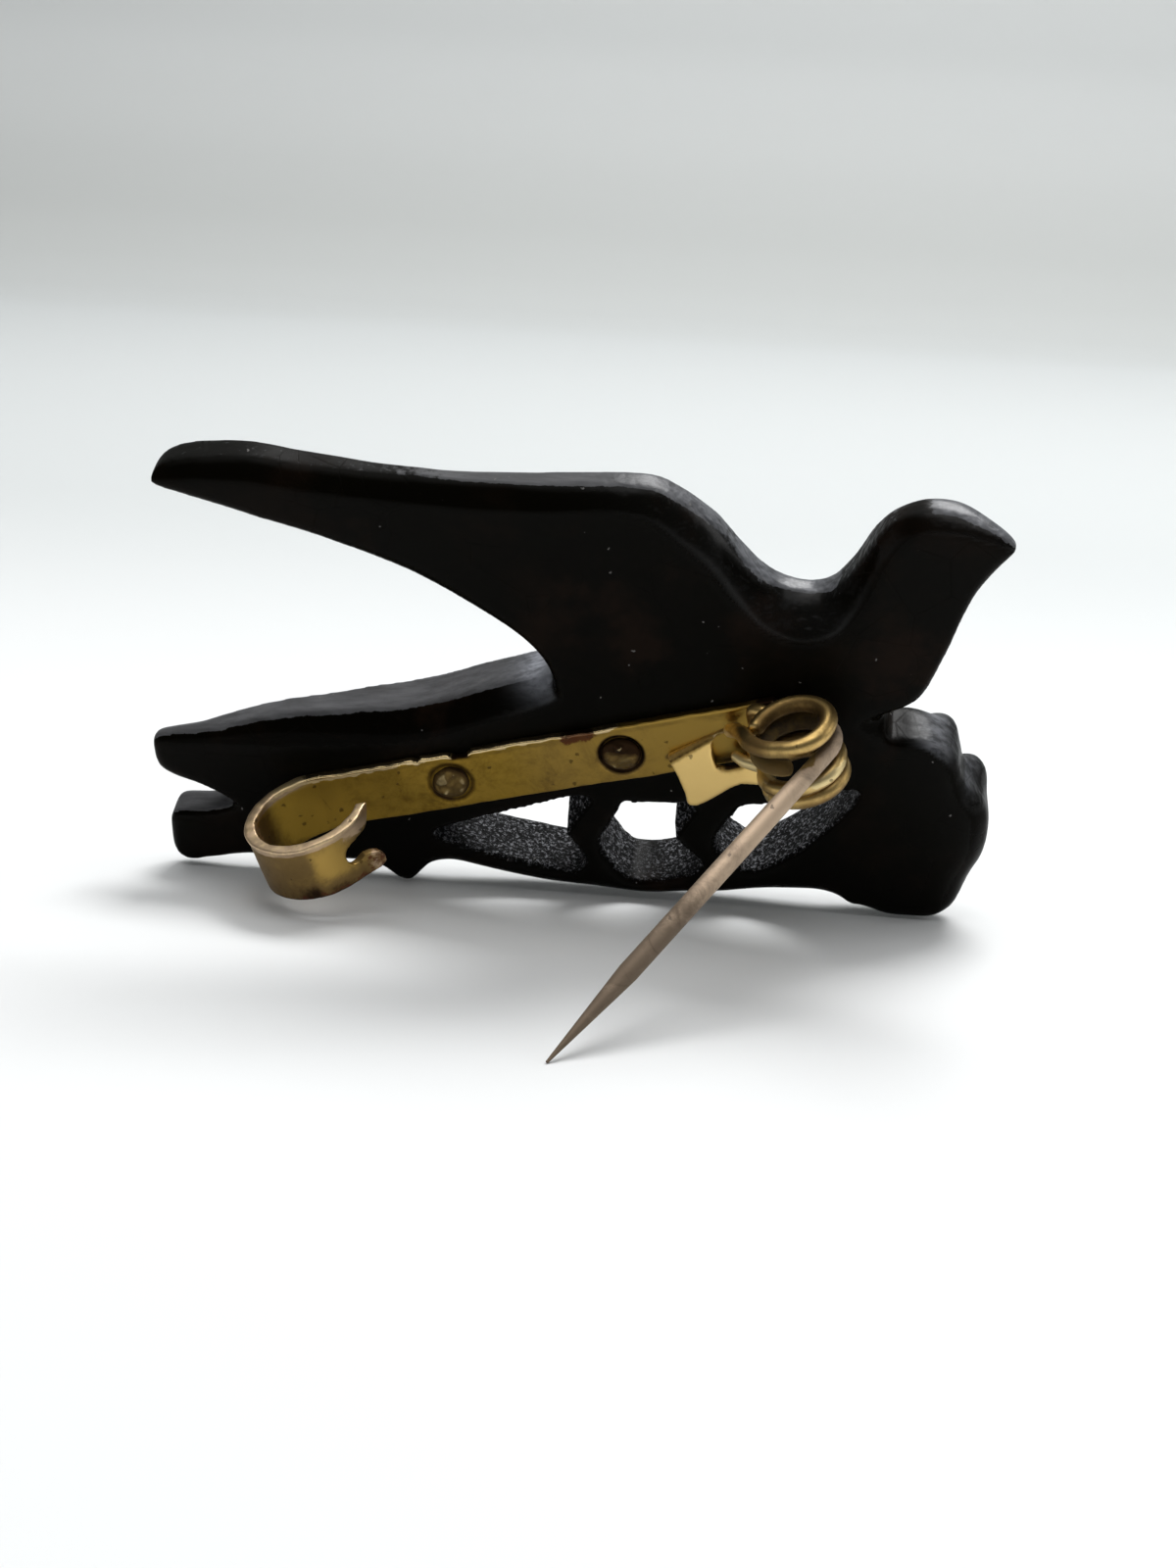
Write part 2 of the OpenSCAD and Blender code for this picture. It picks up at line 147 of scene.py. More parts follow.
def read_rows(items: bpy.types.bpy_prop_collection, name: str, columns: int = 3,
              kind: type = np.float64) -> np.ndarray:
    """Read one property of a mesh's vertices, normals or edges.

    Args:
        items: The vertices, normals or edges.
        name: The property.
        columns: How many numbers each item has.
        kind: The numbers' type.

    Returns:
        One row for each item.
    """
    flat = np.empty(len(items) * columns, kind)
    items.foreach_get(name, flat)
    return flat.reshape(-1, columns)


def read_points(mesh: bpy.types.Mesh) -> np.ndarray:
    """Return a mesh's vertex places as rows."""
    return read_rows(mesh.vertices, "co")


def read_normals(mesh: bpy.types.Mesh) -> np.ndarray:
    """Return a mesh's vertex normals as rows."""
    return read_rows(mesh.vertex_normals, "vector")


def read_edges(mesh: bpy.types.Mesh) -> np.ndarray:
    """Return the vertex pairs of a mesh's edges as rows."""
    return read_rows(mesh.edges, "vertices", 2, np.int32)


def write_points(mesh: bpy.types.Mesh, points: np.ndarray) -> None:
    """Move a mesh's vertices to the given rows."""
    mesh.vertices.foreach_set("co", points.astype(np.float32).ravel())
    mesh.update()


def write_masks(mesh: bpy.types.Mesh, **masks: np.ndarray) -> None:
    """Keep numbers for each vertex as named attributes, which the materials read.

    Args:
        mesh: The mesh.
        masks: One number for each vertex, under each mask's name.
    """
    for name, values in masks.items():
        layer = mesh.attributes.get(name) or mesh.attributes.new(name, "FLOAT", "POINT")
        layer.data.foreach_set("value", values.astype(np.float32))


def make_object(name: str, data: bpy.types.ID) -> bpy.types.Object:
    """Link a new object into the scene.

    Args:
        name: The object's name.
        data: Its mesh, curve, light or camera.

    Returns:
        The object.
    """
    made = bpy.data.objects.new(name, data)
    bpy.context.scene.collection.objects.link(made)
    return made


def shade_smooth(mesh: bpy.types.Mesh) -> None:
    """Give every face of a mesh smooth shading."""
    mesh.polygons.foreach_set("use_smooth", np.ones(len(mesh.polygons), bool))
    mesh.update()


def settle(made: bpy.types.Object, name: str) -> bpy.types.Object:
    """Replace an object that has live modifiers by a plain mesh object.

    Args:
        made: The object with its modifiers.
        name: The plain object's name.

    Returns:
        The plain object, at the origin.
    """
    graph = bpy.context.evaluated_depsgraph_get()
    mesh = bpy.data.meshes.new_from_object(made.evaluated_get(graph))
    mesh.name = name
    bpy.data.objects.remove(made)
    return make_object(name, mesh)


def remesh(made: bpy.types.Object, voxel: float, name: str) -> bpy.types.Object:
    """Cover an object with an even skin of small quads.

    Args:
        made: The closed object to cover, in any unit.
        voxel: The quads' size, in the same unit.
        name: The covered object's name.

    Returns:
        The covered object. The first one is gone.
    """
    cover = made.modifiers.new("cover", "REMESH")
    cover.mode = "VOXEL"
    cover.voxel_size = voxel
    covered = settle(made, name)
    shade_smooth(covered.data)
    return covered


def neighbour_means(points: np.ndarray, edges: np.ndarray) -> np.ndarray:
    """Find the mean place, or value, of each vertex's neighbours.

    Args:
        points: Rows of places, or one value for each vertex.
        edges: The mesh's edges.

    Returns:
        The means, in the same form.
    """
    columns = points.reshape(len(points), -1)
    total = np.zeros_like(columns)
    count = np.zeros(len(points))
    for one, other in (edges.T, edges.T[::-1]):
        for axis, column in enumerate(columns.T):
            total[:, axis] += np.bincount(one, column[other], len(points))
        count += np.bincount(one, minlength=len(points))
    return (total / np.maximum(count, 1)[:, None]).reshape(points.shape)


def relax(points: np.ndarray, edges: np.ndarray, rounds: int) -> np.ndarray:
    """Smooth vertex places, or values, towards their neighbours.

    Args:
        points: Rows of places, or one value for each vertex.
        edges: The mesh's edges.
        rounds: How many times each vertex goes halfway to its neighbours' mean.

    Returns:
        The smoothed rows or values.
    """
    for _ in range(rounds):
        points = points + 0.5 * (neighbour_means(points, edges) - points)
    return points


def bulge(points: np.ndarray, normals: np.ndarray, edges: np.ndarray, rounds: int) -> np.ndarray:
    """Measure how far each vertex stands proud of its surroundings, smoothed some rounds."""
    return np.einsum("ij,ij->i", points - relax(points, edges, rounds), normals)


def ramp(values: np.ndarray, low: float, high: float) -> np.ndarray:
    """Go smoothly from 0 at low to 1 at high."""
    t = np.clip((values - low) / (high - low), 0.0, 1.0)
    return t * t * (3.0 - 2.0 * t)


def between(values: np.ndarray, rise: FLOAT2, fall: FLOAT2) -> np.ndarray:
    """Go smoothly up from 0 to 1 over one span and down again over another."""
    return ramp(values, *rise) * (1.0 - ramp(values, *fall))


def hump(values: np.ndarray, middle: float, size: float, power: int = 2) -> np.ndarray:
    """Return a soft hump, 1 in its middle. A power of 4 makes it flatter on top."""
    return np.exp(-((values - middle) / size) ** power)


def ripple(points: np.ndarray, size: float, seed: int, waves: int = 9) -> np.ndarray:
    """Make a smooth random swell from a few waves in fixed random directions.

    Args:
        points: Places as rows.
        size: The swell's length, in the same unit.
        seed: The random seed.
        waves: How many waves are added up.

    Returns:
        One number for each place, roughly from -1 to 1.
    """
    draw = np.random.default_rng(seed)
    total = np.zeros(len(points))
    for _ in range(waves):
        way = draw.normal(size=3)
        way *= FULL_TURN / (size * np.linalg.norm(way) * draw.uniform(0.7, 1.5))
        total += np.sin(points @ way + draw.uniform(0.0, FULL_TURN))
    return total / math.sqrt(waves * 2.0)


def ripple_along(way: np.ndarray, size: float, seed: int) -> np.ndarray:
    """Make a smooth random swell that changes along one way only."""
    return ripple(np.stack([way, 0.0 * way, 0.0 * way], 1), size, seed)


class Sheet:
    """A small helper that adds and links the nodes of one node tree."""

    def __init__(self, tree: bpy.types.NodeTree) -> None:
        """Start on a material's or a group's node tree."""
        self.tree = tree

    def feed(self, socket: bpy.types.NodeSocket, value: object) -> None:
        """Link a socket into an input, or set the input's own value.

        Args:
            socket: The input.
            value: An output socket, a number, a vector or a colour.
        """
        if isinstance(value, bpy.types.NodeSocket):
            self.tree.links.new(value, socket)
        elif socket.type == "RGBA":
            socket.default_value = (*value, 1.0)
        else:
            socket.default_value = value

    def fill(self, sockets: SOCKETS, values: dict[int | str, object]) -> None:
        """Feed several inputs, given by their names or numbers."""
        for key, value in values.items():
            self.feed(sockets[key], value)

    def add(self, kind: str, inputs: Optional[dict[int | str, object]] = None,
            **settings: object) -> bpy.types.Node:
        """Add a node.

        Args:
            kind: The node's type.
            inputs: What goes into its inputs, by their names or numbers.
            settings: Its own properties.

        Returns:
            The node.
        """
        node = self.tree.nodes.new(kind)
        for key, value in settings.items():
            setattr(node, key, value)
        self.fill(node.inputs, inputs or {})
        return node

    def math(self, operation: str, *values: object, clamp: bool = False) -> bpy.types.NodeSocket:
        """Add a Math node on one to three values and return its result."""
        return self.add("ShaderNodeMath", dict(enumerate(values)), operation=operation,
                        use_clamp=clamp).outputs[0]

    def times(self, first: object, second: object) -> bpy.types.NodeSocket:
        """Multiply two values."""
        return self.math("MULTIPLY", first, second)

    def plus(self, first: object, second: object) -> bpy.types.NodeSocket:
        """Add up two values."""
        return self.math("ADD", first, second)

    def minus(self, first: object, second: object) -> bpy.types.NodeSocket:
        """Take the second value from the first."""
        return self.math("SUBTRACT", first, second)

    def ramp(self, value: object, low: object, high: object,
             to_low: float = 0.0, to_high: float = 1.0) -> bpy.types.NodeSocket:
        """Map a value smoothly from one span to another.

        Args:
            value: The value.
            low: Where the span begins.
            high: Where the span ends.
            to_low: The result at and below the beginning.
            to_high: The result at and beyond the end.

        Returns:
            The result.
        """
        spans = {"From Min": low, "From Max": high, "To Min": to_low, "To Max": to_high}
        return self.add("ShaderNodeMapRange", {"Value": value, **spans},
                        interpolation_type="SMOOTHSTEP").outputs[0]

    def mix(self, share: object, first: object, second: object) -> bpy.types.NodeSocket:
        """Mix two colours by a share."""
        inputs = {0: share, 6: first, 7: second}
        return self.add("ShaderNodeMix", inputs, data_type="RGBA").outputs[2]

    def layers(self, colour: object, *over: tuple[object, object]) -> bpy.types.NodeSocket:
        """Lay colours over one another.

        Args:
            colour: The lowest colour.
            over: The colours over it, each after its share.

        Returns:
            The mixed colour.
        """
        for share, layer in over:
            colour = self.mix(share, colour, layer)
        return colour

    def blend(self, share: object, first: object, second: object) -> bpy.types.NodeSocket:
        """Mix two numbers by a share."""
        inputs = {0: share, 2: first, 3: second}
        return self.add("ShaderNodeMix", inputs, data_type="FLOAT").outputs[0]

    def noise(self, vector: object, scale: object, detail: float = 4.0, rough: float = 0.55,
              bend: float = 0.0) -> bpy.types.NodeSocket:
        """Add a Noise Texture.

        Args:
            vector: The coordinates.
            scale: How many bumps fit in a millimetre.
            detail: How many finer layers it has.
            rough: How strong the finer layers are.
            bend: How much it is distorted.

        Returns:
            Its value.
        """
        return self.add("ShaderNodeTexNoise", {
            "Vector": vector, "Scale": scale, "Detail": detail, "Roughness": rough,
            "Distortion": bend}).outputs["Fac"]

    def cells(self, vector: object, scale: object, feature: str = "F1") -> bpy.types.Node:
        """Add a Voronoi Texture and return the node."""
        inputs = {"Vector": vector, "Scale": scale}
        return self.add("ShaderNodeTexVoronoi", inputs, feature=feature)

    def stretch(self, vector: object, scale: FLOAT3, turn: FLOAT3 = (0.0, 0.0, 0.0)
                ) -> bpy.types.NodeSocket:
        """Turn and stretch coordinates with a Mapping node."""
        inputs = {"Vector": vector, "Rotation": turn, "Scale": scale}
        return self.add("ShaderNodeMapping", inputs, vector_type="POINT").outputs[0]

    def vector(self, operation: str, *values: object) -> bpy.types.NodeSocket:
        """Add a Vector Math node on one to three vectors and return its result."""
        inputs = dict(enumerate(values))
        return self.add("ShaderNodeVectorMath", inputs, operation=operation).outputs[0]

    def bumps(self, *rows: tuple[object, float, float]) -> bpy.types.NodeSocket:
        """Stack Bump nodes.

        Args:
            rows: For each its height from 0 to 1, how high 1 is in metres, and its strength.

        Returns:
            The normal.
        """
        under: dict[str, bpy.types.NodeSocket] = {}
        for height, distance, strength in rows:
            inputs = {"Height": height, "Distance": distance, "Strength": strength, **under}
            under["Normal"] = self.add("ShaderNodeBump", inputs).outputs[0]
        return under["Normal"]

    def mask(self, name: str) -> bpy.types.NodeSocket:
        """Read one of the mesh's own masks."""
        return self.add("ShaderNodeAttribute", attribute_name=name).outputs["Fac"]

    def place(self) -> bpy.types.NodeSocket:
        """Return the Object coordinates in millimetres."""
        inputs = {0: self.add("ShaderNodeTexCoord").outputs["Object"], "Scale": 1.0 / MM}
        return self.add("ShaderNodeVectorMath", inputs, operation="SCALE").outputs[0]


def open_group(name: str, kind: str, inputs: Sequence[tuple[str, str, object]],
               outputs: Sequence[tuple[str, str]]) -> tuple[Sheet, SOCKETS, SOCKETS]:
    """Start a node group.

    Args:
        name: The group's name.
        kind: The type of its tree.
        inputs: Each input's name, its socket's type and its default.
        outputs: Each output's name and its socket's type.

    Returns:
        The helper on the group's tree, what is given to it, and what it gives out.
    """
    tree = bpy.data.node_groups.new(name, kind)
    for label, socket, value in inputs:
        made = tree.interface.new_socket(label, in_out="INPUT", socket_type="NodeSocket" + socket)
        if value is not None:
            made.default_value = value
    for label, socket in outputs:
        tree.interface.new_socket(label, in_out="OUTPUT", socket_type="NodeSocket" + socket)
    sheet = Sheet(tree)
    return sheet, sheet.add("NodeGroupInput").outputs, sheet.add("NodeGroupOutput").inputs


class Effect(Enum):
    """The shared effects, each a shader node group."""

    GRAIN = "fine_grain"
    SPECKS = "dust_specks"
    SCRATCHES = "hair_scratches"
    WEAR = "edge_wear"


@dataclass
class Effects:
    """The shared shader groups, each built once."""

    made: dict[Effect, bpy.types.NodeTree] = field(default_factory=dict)

    def start(self, effect: Effect, outputs: Sequence[str], **numbers: float
              ) -> tuple[Sheet, SOCKETS, SOCKETS]:
        """Start an effect's group.

        Args:
            effect: Which effect it is.
            outputs: The number outputs.
            numbers: The number inputs after Place, each with its default.

        Returns:
            The helper on the group's tree, what is given to it, and what it gives out.
        """
        given = [("Place", "Vector", None), *((n, "Float", v) for n, v in numbers.items())]
        sheet, *ends = open_group(effect.value, "ShaderNodeTree", given,
                                  [(name, "Float") for name in outputs])
        self.made[effect] = sheet.tree
        return sheet, *ends

    def grain(self) -> None:
        """Fine marks drawn out along one way: fibres of wood, or the rolling of metal."""
        sheet, given, out = self.start(Effect.GRAIN, ["Height", "Streaks"], Scale=0.9)
        place, scale = given["Place"], given["Scale"]
        fine = sheet.noise(place, scale, 5.0, 0.65)
        wide = sheet.noise(place, sheet.times(scale, 0.22), 3.0, 0.5, 0.3)
        sheet.feed(out["Height"], sheet.math("MULTIPLY_ADD", fine, 0.6, sheet.times(wide, 0.4)))
        sheet.feed(out["Streaks"], sheet.ramp(wide, 0.42, 0.66))

    def specks(self) -> None:
        """Scattered crumbs of dust and lint."""
        sheet, given, out = self.start(Effect.SPECKS, ["Mask"], Scale=0.9, Size=0.12, Share=0.5)
        place, size = given["Place"], given["Size"]
        jolts = sheet.add("ShaderNodeTexNoise", {"Vector": place, "Scale": 3.2}).outputs["Color"]
        crooked = sheet.vector("MULTIPLY_ADD", jolts, (0.35, 0.35, 0.35),
                               sheet.stretch(place, (1.0, 0.55, 1.0), (0.2, 0.3, 0.6)))
        cells = sheet.cells(crooked, given["Scale"]).outputs
        near = sheet.minus(1.0, sheet.ramp(cells["Distance"], sheet.times(size, 0.5), size))
        draw = sheet.add("ShaderNodeSeparateColor", {0: cells["Color"]}).outputs[0]
        chosen = sheet.math("LESS_THAN", draw, given["Share"])
        sheet.feed(out["Mask"], sheet.times(near, chosen))

    def scratches(self) -> None:
        """Hair lines that cross a surface in several directions."""
        sheet, given, out = self.start(Effect.SCRATCHES, ["Mask"], Scale=0.26, Width=0.03)
        total: object = 0.0
        for turn, seed in ((0.5, 3.0), (-0.8, 11.0), (1.4, 23.0)):
            bent = sheet.stretch(given["Place"], (1.0, 0.16, 1.0), (0.2, turn, turn * 0.7))
            moved = sheet.vector("ADD", bent, (seed, seed, seed))
            border = sheet.cells(moved, given["Scale"], "DISTANCE_TO_EDGE").outputs["Distance"]
            line = sheet.minus(1.0, sheet.ramp(border, 0.0, given["Width"]))
            here = sheet.ramp(sheet.noise(moved, 0.17, 2.0), 0.52, 0.62)
            total = sheet.math("MAXIMUM", total, sheet.times(line, here))
        sheet.feed(out["Mask"], total)

    def wear(self) -> None:
        """A mask with a ragged border, from how far the surface bulges or how strong another mask
        is: rubbed edges, rust, pale patches, and the wood's rubbed tops with painted sheen.
        """
        sheet, given, out = self.start(Effect.WEAR, ["Mask"], Bulge=0.0, Scale=1.5, Ragged=0.4,
                                       Reach=0.5)
        soft, reach = 0.12, given["Reach"]
        noise = sheet.noise(given["Place"], given["Scale"], 4.0, 0.6)
        value = sheet.plus(given["Bulge"], sheet.times(sheet.minus(noise, 0.5), given["Ragged"]))
        mask = sheet.ramp(value, sheet.minus(reach, soft), sheet.plus(reach, soft))
        sheet.feed(out["Mask"], mask)

    def build(self) -> "Effects":
        """Build every group.

        Returns:
            This set.
        """
        for make in (self.grain, self.specks, self.scratches, self.wear):
            make()
        return self

    def place(self, sheet: Sheet, effect: Effect, **values: object) -> SOCKETS:
        """Put an effect into a material, with inputs by name, and return its outputs."""
        return sheet.add("ShaderNodeGroup", values, node_tree=self.made[effect]).outputs


def open_material(name: str) -> tuple[bpy.types.Material, Sheet, SOCKETS]:
    """Start a material on an empty Principled shader.

    Args:
        name: The material's name.

    Returns:
        The material, the helper on its tree and the shader's inputs.
    """
    material = bpy.data.materials.new(name)
    material.use_nodes = True
    shader = next(n for n in material.node_tree.nodes if n.type == "BSDF_PRINCIPLED")
    return material, Sheet(material.node_tree), shader.inputs


@dataclass(frozen=True)
class BlackWood:
    """Dense wood stained black and waxed: satin back, glossy chamfer, rubbed tops with painted
    sheen and painted glints, raw saw cuts.

    Attributes:
        black: The stain.
        brown: The warmer wood that shows through it.
        rubbed_and_sheen: The tops where they are rubbed, with painted sheen on the faces that look
            up.
        painted_glint_colour: The glints painted on the tops: painted highlights.
        sawn: The saw cuts.
        crumb: The torn crumbs in the saw cuts.
        dust: The specks of dust.
    """

    black: FLOAT3 = (0.0020, 0.0017, 0.0009)
    brown: FLOAT3 = (0.0085, 0.0046, 0.0026)
    rubbed_and_sheen: FLOAT3 = (0.125, 0.125, 0.130)
    painted_glint_colour: FLOAT3 = (0.50, 0.51, 0.55)
    sawn: FLOAT3 = (0.0045, 0.0047, 0.005)
    crumb: FLOAT3 = (0.37, 0.375, 0.40)
    dust: FLOAT3 = (0.14, 0.135, 0.13)

    def build(self, effects: Effects) -> bpy.types.Material:
        """Build the material.

        Args:
            effects: The shared effects.

        Returns:
            The material.
        """
        material, sheet, shader = open_material("black_wood")
        place = sheet.place()
        grain = effects.place(sheet, Effect.GRAIN, Scale=1.8,
                              Place=sheet.stretch(place, (0.16, 1.0, 1.0), (0.0, 0.06, 0.05)))
        height = grain["Height"]
        scratch = effects.place(sheet, Effect.SCRATCHES, Place=place, Scale=0.32,
                                Width=0.02)["Mask"]
        top, edge, band, sawn, polish = (
            sheet.mask(name) for name in ("top", "edge", "band", "sawn", "polish"))
        dusty = sheet.math("MULTIPLY_ADD", top, 0.14, 0.03)
        specks = effects.place(sheet, Effect.SPECKS, Place=place, Scale=1.7, Size=0.16,
                               Share=dusty)["Mask"]
        mottle = sheet.noise(place, 0.19, 4.0, 0.6)
        # worn_and_highlight: the rubbed tops, which carry painted sheen, and the edges.
        worn_and_highlight = sheet.math("MAXIMUM", top, sheet.times(edge, 0.2))
        rub_and_highlight = effects.place(sheet, Effect.WEAR, Place=place, Bulge=worn_and_highlight, Scale=2.2, Ragged=0.9,
                            Reach=0.55)["Mask"]
        brown = sheet.math("MULTIPLY", sheet.ramp(mottle, 0.45, 0.70),
                           sheet.plus(0.45, sheet.mask("brown")), clamp=True)
        hatch = sheet.ramp(height, 0.34, 0.66, 0.45, 0.95)
        fleck = sheet.ramp(height, 0.38, 0.58, 0.3, 1.0)
        crumbs = sheet.noise(place, 4.6, 3.0, 0.8)
        patchy = sheet.ramp(sheet.noise(place, 0.9, 2.0), 0.2, 0.7, 0.45, 1.0)
        torn = sheet.times(sheet.ramp(crumbs, 0.50, 0.66), patchy)
        colour = sheet.layers(self.black, (brown, self.brown),
                              (sheet.times(rub_and_highlight, hatch), self.rubbed_and_sheen),
                              (sheet.times(sheet.mask("painted_glint"), fleck), self.painted_glint_colour),
                              (sawn, sheet.mix(torn, self.sawn, self.crumb)), (specks, self.dust))
        rough = sheet.blend(band, sheet.ramp(mottle, 0.3, 0.7, 0.34, 0.42), 0.17)
        rough = sheet.blend(rub_and_highlight, rough, sheet.ramp(grain["Streaks"], 0.0, 1.0, 0.36, 0.50))
        rough = sheet.blend(sawn, rough, 0.55)
        for marks, more in ((scratch, 0.25), (specks, 0.4)):
            rough = sheet.plus(rough, sheet.times(marks, more))
        fibres = sheet.times(height, sheet.minus(1.0, sheet.times(band, 0.7)))
        rasp = sheet.times(sheet.plus(crumbs, sheet.noise(place, 2.6, 2.0)), sawn)
        dents = sheet.times(sheet.noise(place, 0.9, 2.0, 0.5), polish)
        sheet.fill(shader, {
            "Base Color": colour, "Roughness": rough,
            "Specular IOR Level": sheet.blend(band, 0.045, 0.022),
            "Coat Weight": sheet.times(polish, 0.38), "Coat Roughness": 0.24,
            "Coat Tint": (0.86, 0.91, 1.0),
            "Normal": sheet.bumps((fibres, 0.000012, 0.8),
                                  (sheet.times(scratch, -1.0), 0.00001, 0.5),
                                  (rasp, 0.00012, 1.0), (dents, 0.0006, 1.0))})
        return material


@dataclass(frozen=True)
class AgedBrass:
    """Sheet brass or wire under an uneven brown tarnish, bright where it is rubbed and where
    highlights are painted, darker where shade is painted.

    Attributes:
        name: The material's name.
        gold: The bare brass.
        tarnish: The thin film over it.
        dark: The deepest stain and painted shade, and the pits.
        bright: The rubbed edges, and the painted highlight along the strip's upper edge.
        patch: The pale skin; on the spring wire, its painted highlights.
        rust: The reddish stain.
        smooth: The roughness of the bare brass.
        dull: The roughness of the film.
        amount: How much of the film there is.
        along: How the grain's coordinates are scaled, least along the grain.
        pitted: How many pits there are.
    """

    name: str
    gold: FLOAT3 = (0.40, 0.25, 0.038)
    tarnish: FLOAT3 = (0.145, 0.085, 0.013)
    dark: FLOAT3 = (0.030, 0.016, 0.008)
    bright: FLOAT3 = (0.85, 0.66, 0.36)
    patch: FLOAT3 = (0.60, 0.44, 0.29)
    rust: FLOAT3 = (0.105, 0.030, 0.016)
    smooth: float = 0.30
    dull: float = 0.52
    amount: float = 0.42
    along: FLOAT3 = (0.35, 1.0, 1.0)
    pitted: float = 0.5

    def build(self, effects: Effects) -> bpy.types.Material:
        """Build the material.

        Args:
            effects: The shared effects.

        Returns:
            The material.
        """
        material, sheet, shader = open_material(self.name)
        place = sheet.place()
        grain = effects.place(sheet, Effect.GRAIN, Scale=2.6,
                              Place=sheet.stretch(place, self.along))
        scratch = effects.place(sheet, Effect.SCRATCHES, Place=place, Scale=0.42,
                                Width=0.03)["Mask"]
        pits = effects.place(sheet, Effect.SPECKS, Place=place, Scale=1.9, Size=0.30,
                             Share=0.10 * self.pitted)["Mask"]
        # The stain mask also carries painted shade, and the patch mask the spring wire's painted
        # highlights.
        stain, patch = sheet.mask("stain"), sheet.mask("patch")
        cloud = sheet.noise(place, 0.5, 6.0, 0.78, 0.4)
        drift = sheet.minus(cloud, 0.5)
        spread = sheet.plus(sheet.times(drift, 1.6), sheet.plus(self.amount, stain))
        film = sheet.ramp(spread, 0.2, 1.0)
        deep = sheet.ramp(sheet.plus(stain, sheet.times(drift, 0.9)), 0.55, 0.95)
        # rub_and_highlight: the rubbed edges, and the painted highlight along the strip's upper
        # edge.
        rub_and_highlight, other, rusty = (
            effects.place(sheet, Effect.WEAR, Place=place, Bulge=bulging, Scale=scale,
                          Ragged=ragged, Reach=0.5)["Mask"]
            for bulging, scale, ragged in ((sheet.mask("edge"), 2.6, 0.5), (patch, 2.0, 0.8),
                                           (sheet.mask("rust"), 2.4, 1.1)))
        # haze_and_highlight: the pale skin; on the spring wire it is a painted highlight.
        haze_and_highlight = sheet.math("MAXIMUM", sheet.times(other, 0.9), sheet.times(patch, 0.5))
        colour = sheet.layers(self.gold, (film, self.tarnish), (haze_and_highlight, self.patch),
                              (deep, self.dark), (sheet.times(rub_and_highlight, 0.85), self.bright),
                              (sheet.times(rusty, 0.9), self.rust),
                              (sheet.times(pits, 0.6), self.dark))
        rough = sheet.blend(film, self.smooth, self.dull)
        rough = sheet.blend(rub_and_highlight, rough, self.smooth * 0.8)
        rough = sheet.blend(other, rough, self.smooth * 1.4)
        unworn = sheet.minus(0.12, sheet.times(rub_and_highlight, 0.12))
        sheet.fill(shader, {
            "Base Color": colour, "Metallic": 1.0,
            "Roughness": sheet.plus(rough, sheet.times(scratch, unworn)),
            "Normal": sheet.bumps((grain["Height"], 0.000008, 0.7),
                                  (sheet.times(pits, -1.0), 0.00003, 0.6), (cloud, 0.00005, 0.5))})
        return material


def flat_to_mesh(outline: Sequence[FLOAT2], holes: Sequence[Sequence[FLOAT2]], thick: float,
                 name: str) -> bpy.types.Object:
    """Cut a plate from an outline with holes.

    Args:
        outline: The outer corner points, in millimetres.
        holes: The corner points of each hole.
        thick: The plate's thickness, half to each side of its middle.
        name: The object's name.

    Returns:
        The plate as a closed mesh object.
    """
    curve = bpy.data.curves.new(name, "CURVE")
    curve.dimensions = "2D"
    curve.fill_mode = "BOTH"
    curve.extrude = thick / 2.0
    for corners in (outline, *holes):
        spline = curve.splines.new("POLY")
        spline.points.add(len(corners) - 1)
        spline.points.foreach_set("co", [v for x, y in corners for v in (x, y, 0.0, 1.0)])
        spline.use_cyclic_u = True
    made = settle(make_object(name, curve), name)
    bpy.data.curves.remove(curve)
    weld(made.data, 1e-4)
    return made


def weld(mesh: bpy.types.Mesh, reach: float) -> None:
    """Merge a mesh's double vertices and turn its faces outwards.

    Args:
        mesh: The mesh.
        reach: How close two vertices lie that are one.
    """
    work = bmesh.new()
    work.from_mesh(mesh)
    bmesh.ops.remove_doubles(work, verts=work.verts, dist=reach)
    bmesh.ops.recalc_face_normals(work, faces=work.faces)
    work.to_mesh(mesh)
    work.free()


def through(points: Sequence[Sequence[float]], steps: int) -> np.ndarray:
    """Lay a smooth path through points.

    Args:
        points: Rows of numbers, the first three of them a place.
        steps: Steps between two points.

    Returns:
        The path's rows, from the first point to the last.
    """
    given = np.array(points, float)
    ends = np.vstack([2 * given[0] - given[1], given, 2 * given[-1] - given[-2]])
    rows = []
    for i in range(1, len(ends) - 2):
        p0, p1, p2, p3 = ends[i - 1:i + 3]
        for t in np.arange(steps) / steps:
            rows.append(0.5 * (2 * p1 + (p2 - p0) * t + (2 * p0 - 5 * p1 + 4 * p2 - p3) * t * t
                               + (3 * p1 - p0 - 3 * p2 + p3) * t * t * t))
    rows.append(given[-1])
    return np.array(rows)


@dataclass(frozen=True)
class Trim:
    """A place where the carving stands a little prouder, or shyer, than the sawn blank.

    Attributes:
        a: Its middle along the feet.
        b: Its middle up the back.
        left: Its reach to the left.
        right: Its reach to the right.
        high: Its reach up and down.
        push: How far the surface moves along a and b.
        inward: Whether the faces that look against the push move, instead of those along it.
    """

    a: float
    b: float
    left: float
    right: float
    high: float
    push: FLOAT2
    inward: bool = False

    def lift(self, points: np.ndarray, normals: np.ndarray) -> np.ndarray:
        """Return how far each vertex moves, in the flat frame.

        Args:
            points: The vertex places.
            normals: The vertex normals.

        Returns:
            A move for each vertex.
        """
        a, b, _ = points.T
        wide = np.where(a < self.a, self.left, self.right)
        near = hump(a, self.a, wide) * hump(b, self.b, self.high)
        way = np.array([*self.push, 0.0])
        side = -1.0 if self.inward else 1.0
        facing = np.clip(side * (normals @ way) / np.linalg.norm(way), 0.0, 1.0)
        return (near * facing)[:, None] * way


